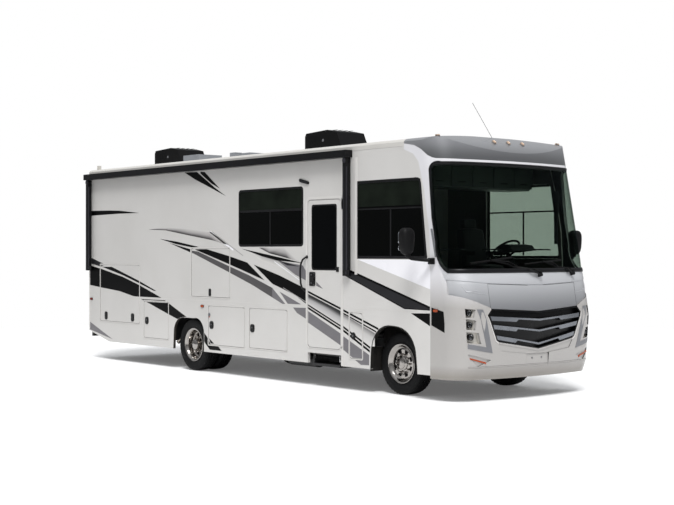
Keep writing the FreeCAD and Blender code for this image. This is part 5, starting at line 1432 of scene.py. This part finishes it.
# film, layer, upper edge and lower edge of each band: distance from the front axle, height
BANDS = (
    ("black", 1, ((-8.19, 2.655), (-7.49, 2.645), (-7.11, 2.632), (-6.44, 2.578)),
     ((-8.19, 2.565), (-7.11, 2.58), (-6.44, 2.577))),
    ("black", 1, ((-5.01, 3.20), (-4.64, 3.19), (-4.13, 2.92), (-3.83, 2.78)),
     ((-5.01, 3.199), (-4.69, 3.07), (-4.36, 2.96), (-3.83, 2.779))),
    ("black", 1, ((-4.54, 3.19), (-4.42, 3.18), (-3.99, 2.90)),
     ((-4.54, 3.16), (-4.23, 2.99), (-3.99, 2.899))),
    ("soft black", 1, ((-8.19, 1.825), (-7.61, 1.69)), ((-8.19, 1.715), (-7.76, 1.65), (-7.61, 1.689))),
    ("black", 1, ((-7.72, 1.65), (-7.37, 1.65), (-6.44, 1.42), (-5.88, 1.26)),
     ((-7.72, 1.649), (-7.57, 1.62), (-6.99, 1.51), (-6.44, 1.38), (-5.96, 1.26), (-5.88, 1.259))),
    ("black", 1, ((-8.19, 1.675), (-7.74, 1.61), (-6.99, 1.48), (-6.44, 1.35), (-5.72, 1.151)),
     ((-8.19, 1.32), (-7.74, 1.28), (-7.11, 1.23), (-6.64, 1.155), (-6.55, 1.150), (-5.72, 1.15))),
    ("black", 1, ((-6.37, 1.112), (-5.61, 1.112), (-4.95, 0.862)),
     ((-6.37, 1.111), (-6.05, 1.03), (-5.52, 0.89), (-5.22, 0.815), (-5.14, 0.845), (-5.02, 0.857),
      (-4.95, 0.861))),
    ("grey", 1, ((-8.19, 0.665), (-7.35, 0.38)), ((-8.19, 0.52), (-7.35, 0.379))),
    ("fade up", 1, ((-6.11, 2.292), (-5.45, 2.32), (-4.89, 2.29), (-4.27, 2.235), (-3.76, 2.03)),
     ((-6.11, 2.288), (-5.59, 2.27), (-4.89, 2.18), (-4.23, 2.10), (-3.76, 2.02))),
    ("pale", 2, *bar_band(-4.20, 2.235, -3.36, 1.862, 0.016)),
    ("white", 1, *bar_band(-4.27, 2.245, -3.62, 1.955, 0.03)),
    ("black", 1, ((-5.77, 2.13), (-5.24, 2.08), (-4.59, 1.992)),
     ((-5.77, 2.129), (-5.27, 2.04), (-4.79, 1.985), (-4.59, 1.99))),
    ("black", 2, ((-5.47, 2.06), (-4.835, 1.955)), ((-5.47, 2.059), (-4.835, 1.905))),
    ("black", 1, ((-4.69, 1.952), (-4.39, 1.96), (-3.75, 1.85), (-3.25, 1.75), (-2.81, 1.49)),
     ((-4.69, 1.948), (-3.73, 1.72), (-3.25, 1.60), (-2.81, 1.488))),
    ("dark grey", 1, ((-4.79, 1.932), (-4.61, 1.918), (-3.73, 1.69), (-3.23, 1.565), (-2.61, 1.38)),
     ((-4.79, 1.90), (-3.75, 1.60), (-3.11, 1.41), (-2.61, 1.237))),
    ("grey", 1, ((-2.61, 1.38), (-2.29, 1.152)), ((-2.61, 1.237), (-2.36, 1.15), (-2.29, 1.15))),
    ("black", 1, ((-3.08, 1.72), (-2.41, 1.56), (-1.79, 1.38)),
     ((-3.08, 1.719), (-2.61, 1.44), (-2.05, 1.285), (-1.79, 1.165))),
    ("pale", 2, *bar_band(-2.34, 1.392, -1.79, 1.198, 0.010)),
    ("grey", 1, ((-2.43, 1.33), (-1.92, 1.16)), ((-2.43, 1.329), (-2.23, 1.155), (-1.92, 1.155))),
    ("grey", 1, ((-2.10, 1.105), (-1.79, 1.11)), ((-2.10, 1.104), (-2.01, 1.03), (-1.79, 0.95))),
    ("black", 1, *bar_band(-1.77, 1.363, -1.00, 1.135, 0.030)),
    ("chrome fade", 1, ((-1.77, 1.318), (-1.00, 1.090)), ((-1.77, 1.185), (-1.00, 0.905))),
    ("black", 1, *bar_band(-1.77, 1.172, -1.00, 0.892, 0.024)),
    ("black", 1, *bar_band(-1.77, 1.134, -1.00, 0.852, 0.030)),
    ("grey", 1, *bar_band(-1.77, 1.075, -1.00, 0.775, 0.165)),
    ("fade up", 1, ((-2.94, 1.978), (-2.32, 1.98), (-1.98, 1.78)),
     ((-2.94, 1.974), (-2.68, 1.89), (-1.98, 1.778))),
    ("fade down", 1, ((-3.20, 1.925), (-2.87, 1.86), (-2.40, 1.78), (-1.93, 1.612)),
     ((-3.20, 1.92), (-2.87, 1.775), (-2.40, 1.68), (-1.93, 1.608))),
    ("black", 2, ((-3.39, 1.96), (-2.87, 1.89), (-2.32, 1.815), (-1.87, 1.75)),
     ((-3.39, 1.959), (-2.87, 1.845), (-2.50, 1.785), (-1.87, 1.749))),
    ("grey", 2, ((-2.47, 1.782), (-1.87, 1.715), (-1.79, 1.63)),
     ((-2.47, 1.781), (-2.05, 1.58), (-1.79, 1.50))),
    ("soft black", 3, ((-2.45, 1.785), (-1.95, 1.70)), ((-2.45, 1.783), (-2.25, 1.715), (-1.95, 1.699))),
    ("white", 3, *bar_band(-2.56, 1.775, -1.95, 1.512, 0.012)),
    ("grey", 1, ((-1.56, 1.49), (-1.41, 1.392)), ((-1.56, 1.43), (-1.41, 1.39))),
    ("white", 1, ((-0.645, 1.806), (0.765, 1.806), (0.795, 1.66)), ((-0.645, 1.805), (0.795, 1.43))),
    ("black", 1, ((-0.95, 1.625), (-0.79, 1.66), (0.79, 1.208)),
     ((-0.95, 1.59), (0.30, 1.162), (0.79, 1.158))),
    ("soft black", 2, ((-0.90, 1.590), (-0.78, 1.625), (0.79, 1.180)),
     ((-0.90, 1.585), (0.31, 1.175), (0.79, 1.170))),
    ("black", 1, ((0.43, 1.112), (0.79, 1.122)), ((0.43, 1.111), (0.79, 0.958))),
    ("black", 1, ((0.815, 1.20), (1.04, 1.152), (1.058, 1.0)), ((0.815, 0.972), (1.058, 0.885))),
    ("black", 1, *bar_band(-0.955, 1.118, -0.215, 0.892, 0.030)),
    ("black", 1, *bar_band(-0.955, 1.072, -0.262, 0.850, 0.022)),
    ("silver fade", 1, ((-0.955, 1.048), (-0.290, 0.820)), ((-0.955, 0.900), (-0.385, 0.640))),
    ("black", 1, *bar_band(-0.955, 0.888, -0.385, 0.632, 0.030)),
    ("black", 1, *bar_band(-0.955, 0.842, -0.392, 0.585, 0.034)),
    ("grey", 1, ((-0.955, 0.745), (-0.405, 0.52)), ((-0.955, 0.56), (-0.58, 0.375), (-0.405, 0.38))),
    ("black", 1, ((-4.43, 0.63), (-4.35, 0.57), (-4.24, 0.45), (-4.04, 0.44), (-3.94, 0.37)),
     ((-4.43, 0.49), (-4.41, 0.47), (-4.27, 0.37), (-3.94, 0.369))),
    ("black", 1, ((-4.29, 0.55), (-4.15, 0.471)), ((-4.29, 0.545), (-4.25, 0.47), (-4.15, 0.47))),
)


def height_at(line, x):
    """Height of a broken line at x."""
    for (x0, z0), (x1, z1) in zip(line, line[1:]):
        if x0 <= x <= x1:
            return z0 + (z1 - z0) * (x - x0) / max(x1 - x0, 1e-9)
    return line[0][1] if x < line[0][0] else line[-1][1]


def band_mesh(upper, lower):
    """A flat band in the xz plane, with a UV map that runs from its lower to its upper edge."""
    spots = sorted({round(x, 4) for x, _ in upper + lower})
    thinnest = 1e-5
    form = bmesh.new()
    uv = form.loops.layers.uv.new("band")
    rows = []
    for x in spots:
        high = height_at(upper, x)
        low = min(height_at(lower, x), high - thinnest)
        rows.append([form.verts.new((AXLE_X + x, 0.0, z)) for z in (low, high)])
    for k, (a, b) in enumerate(zip(rows, rows[1:])):
        face = form.faces.new((a[0], b[0], b[1], a[1]))
        for loop, spot in zip(face.loops, ((k, 0), (k + 1, 0), (k + 1, 1), (k, 1))):
            loop[uv].uv = (spot[0] / len(rows), spot[1])
    return form


def cut_to(form, zone, keep_inside):
    """Keeps the part of a flat mesh inside, or outside, a rectangle of x0, x1, z0, z1."""
    x0, x1, z0, z1 = zone
    for place_at, way in (((x0, 0, 0), (-1, 0, 0)), ((x1, 0, 0), (1, 0, 0)), ((0, 0, z0), (0, 0, -1)),
                          ((0, 0, z1), (0, 0, 1))):
        everything = form.verts[:] + form.edges[:] + form.faces[:]
        bmesh.ops.bisect_plane(form, geom=everything, dist=1e-6, plane_co=place_at, plane_no=way)
    gone = []
    for face in form.faces:
        middle = face.calc_center_median()
        inside = x0 < middle.x < x1 and z0 < middle.z < z1
        if inside != keep_inside:
            gone.append(face)
    bmesh.ops.delete(form, geom=gone, context="FACES")


HINGE_LIP = 0.0047
FILM_MARGIN = 0.006
FILM_STEP = 0.0004
DOOR_GAP = 0.005
zones = {-1: [], 1: []}
for name, side in skirt_doors + [("entry_door", -1)]:
    lo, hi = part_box(name)
    right, top = (hi.x - HINGE_LIP, hi.z) if name == "entry_door" else (hi.x, hi.z - HINGE_LIP)
    zones[side].append((name, WALL_Y, (lo.x, right, lo.z, top), DOOR_GAP))
lo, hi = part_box("slide_out_room")
zones[1].append(("slide_out", hi.y, (lo.x, hi.x, lo.z, hi.z), 0.0))
windows = [(-4.20, -3.16, 2.03, 2.77), (-0.975, 0.465, 1.98, 2.77)]
kinds = sorted({kind for kind, _, _, _ in BANDS})
for label, side in SIDES:
    sheets = {body: bmesh.new() for body in ["coach"] + [zone[0] for zone in zones[side]]}
    for kind, layer, upper, lower in BANDS:
        shares = []
        for body, y, (x0, x1, z0, z1), _ in zones[side]:
            share = band_mesh(upper, lower)
            m = FILM_MARGIN
            cut_to(share, (x0 + m, x1 - m, z0 + m, z1 - m), True)
            shares.append((body, y, share))
        share = band_mesh(upper, lower)
        for _, _, (x0, x1, z0, z1), gap in zones[side]:
            m = FILM_MARGIN + gap
            cut_to(share, (x0 - m, x1 + m, z0 - m, z1 + m), False)
        shares.append(("coach", WALL_Y, share))
        for body, y, share in shares:
            if side > 0:
                for window in windows:
                    cut_to(share, window, False)
            if not share.faces:
                share.free()
                continue
            proud = side * (y + FILM_STEP * layer)
            for vert in share.verts:
                vert.co.y = proud
            for face in share.faces:
                face.normal_update()
                if face.normal.y * side < 0:
                    face.normal_flip()
                face.material_index = kinds.index(kind)
            band = bpy.data.meshes.new("band")
            share.to_mesh(band)
            share.free()
            sheets[body].from_mesh(band)
            bpy.data.meshes.remove(band)
    for body, sheet in sheets.items():
        if sheet.faces:
            piece("graphics_%s_%s" % (label, body), sheet, body, *[films[kind] for kind in kinds])
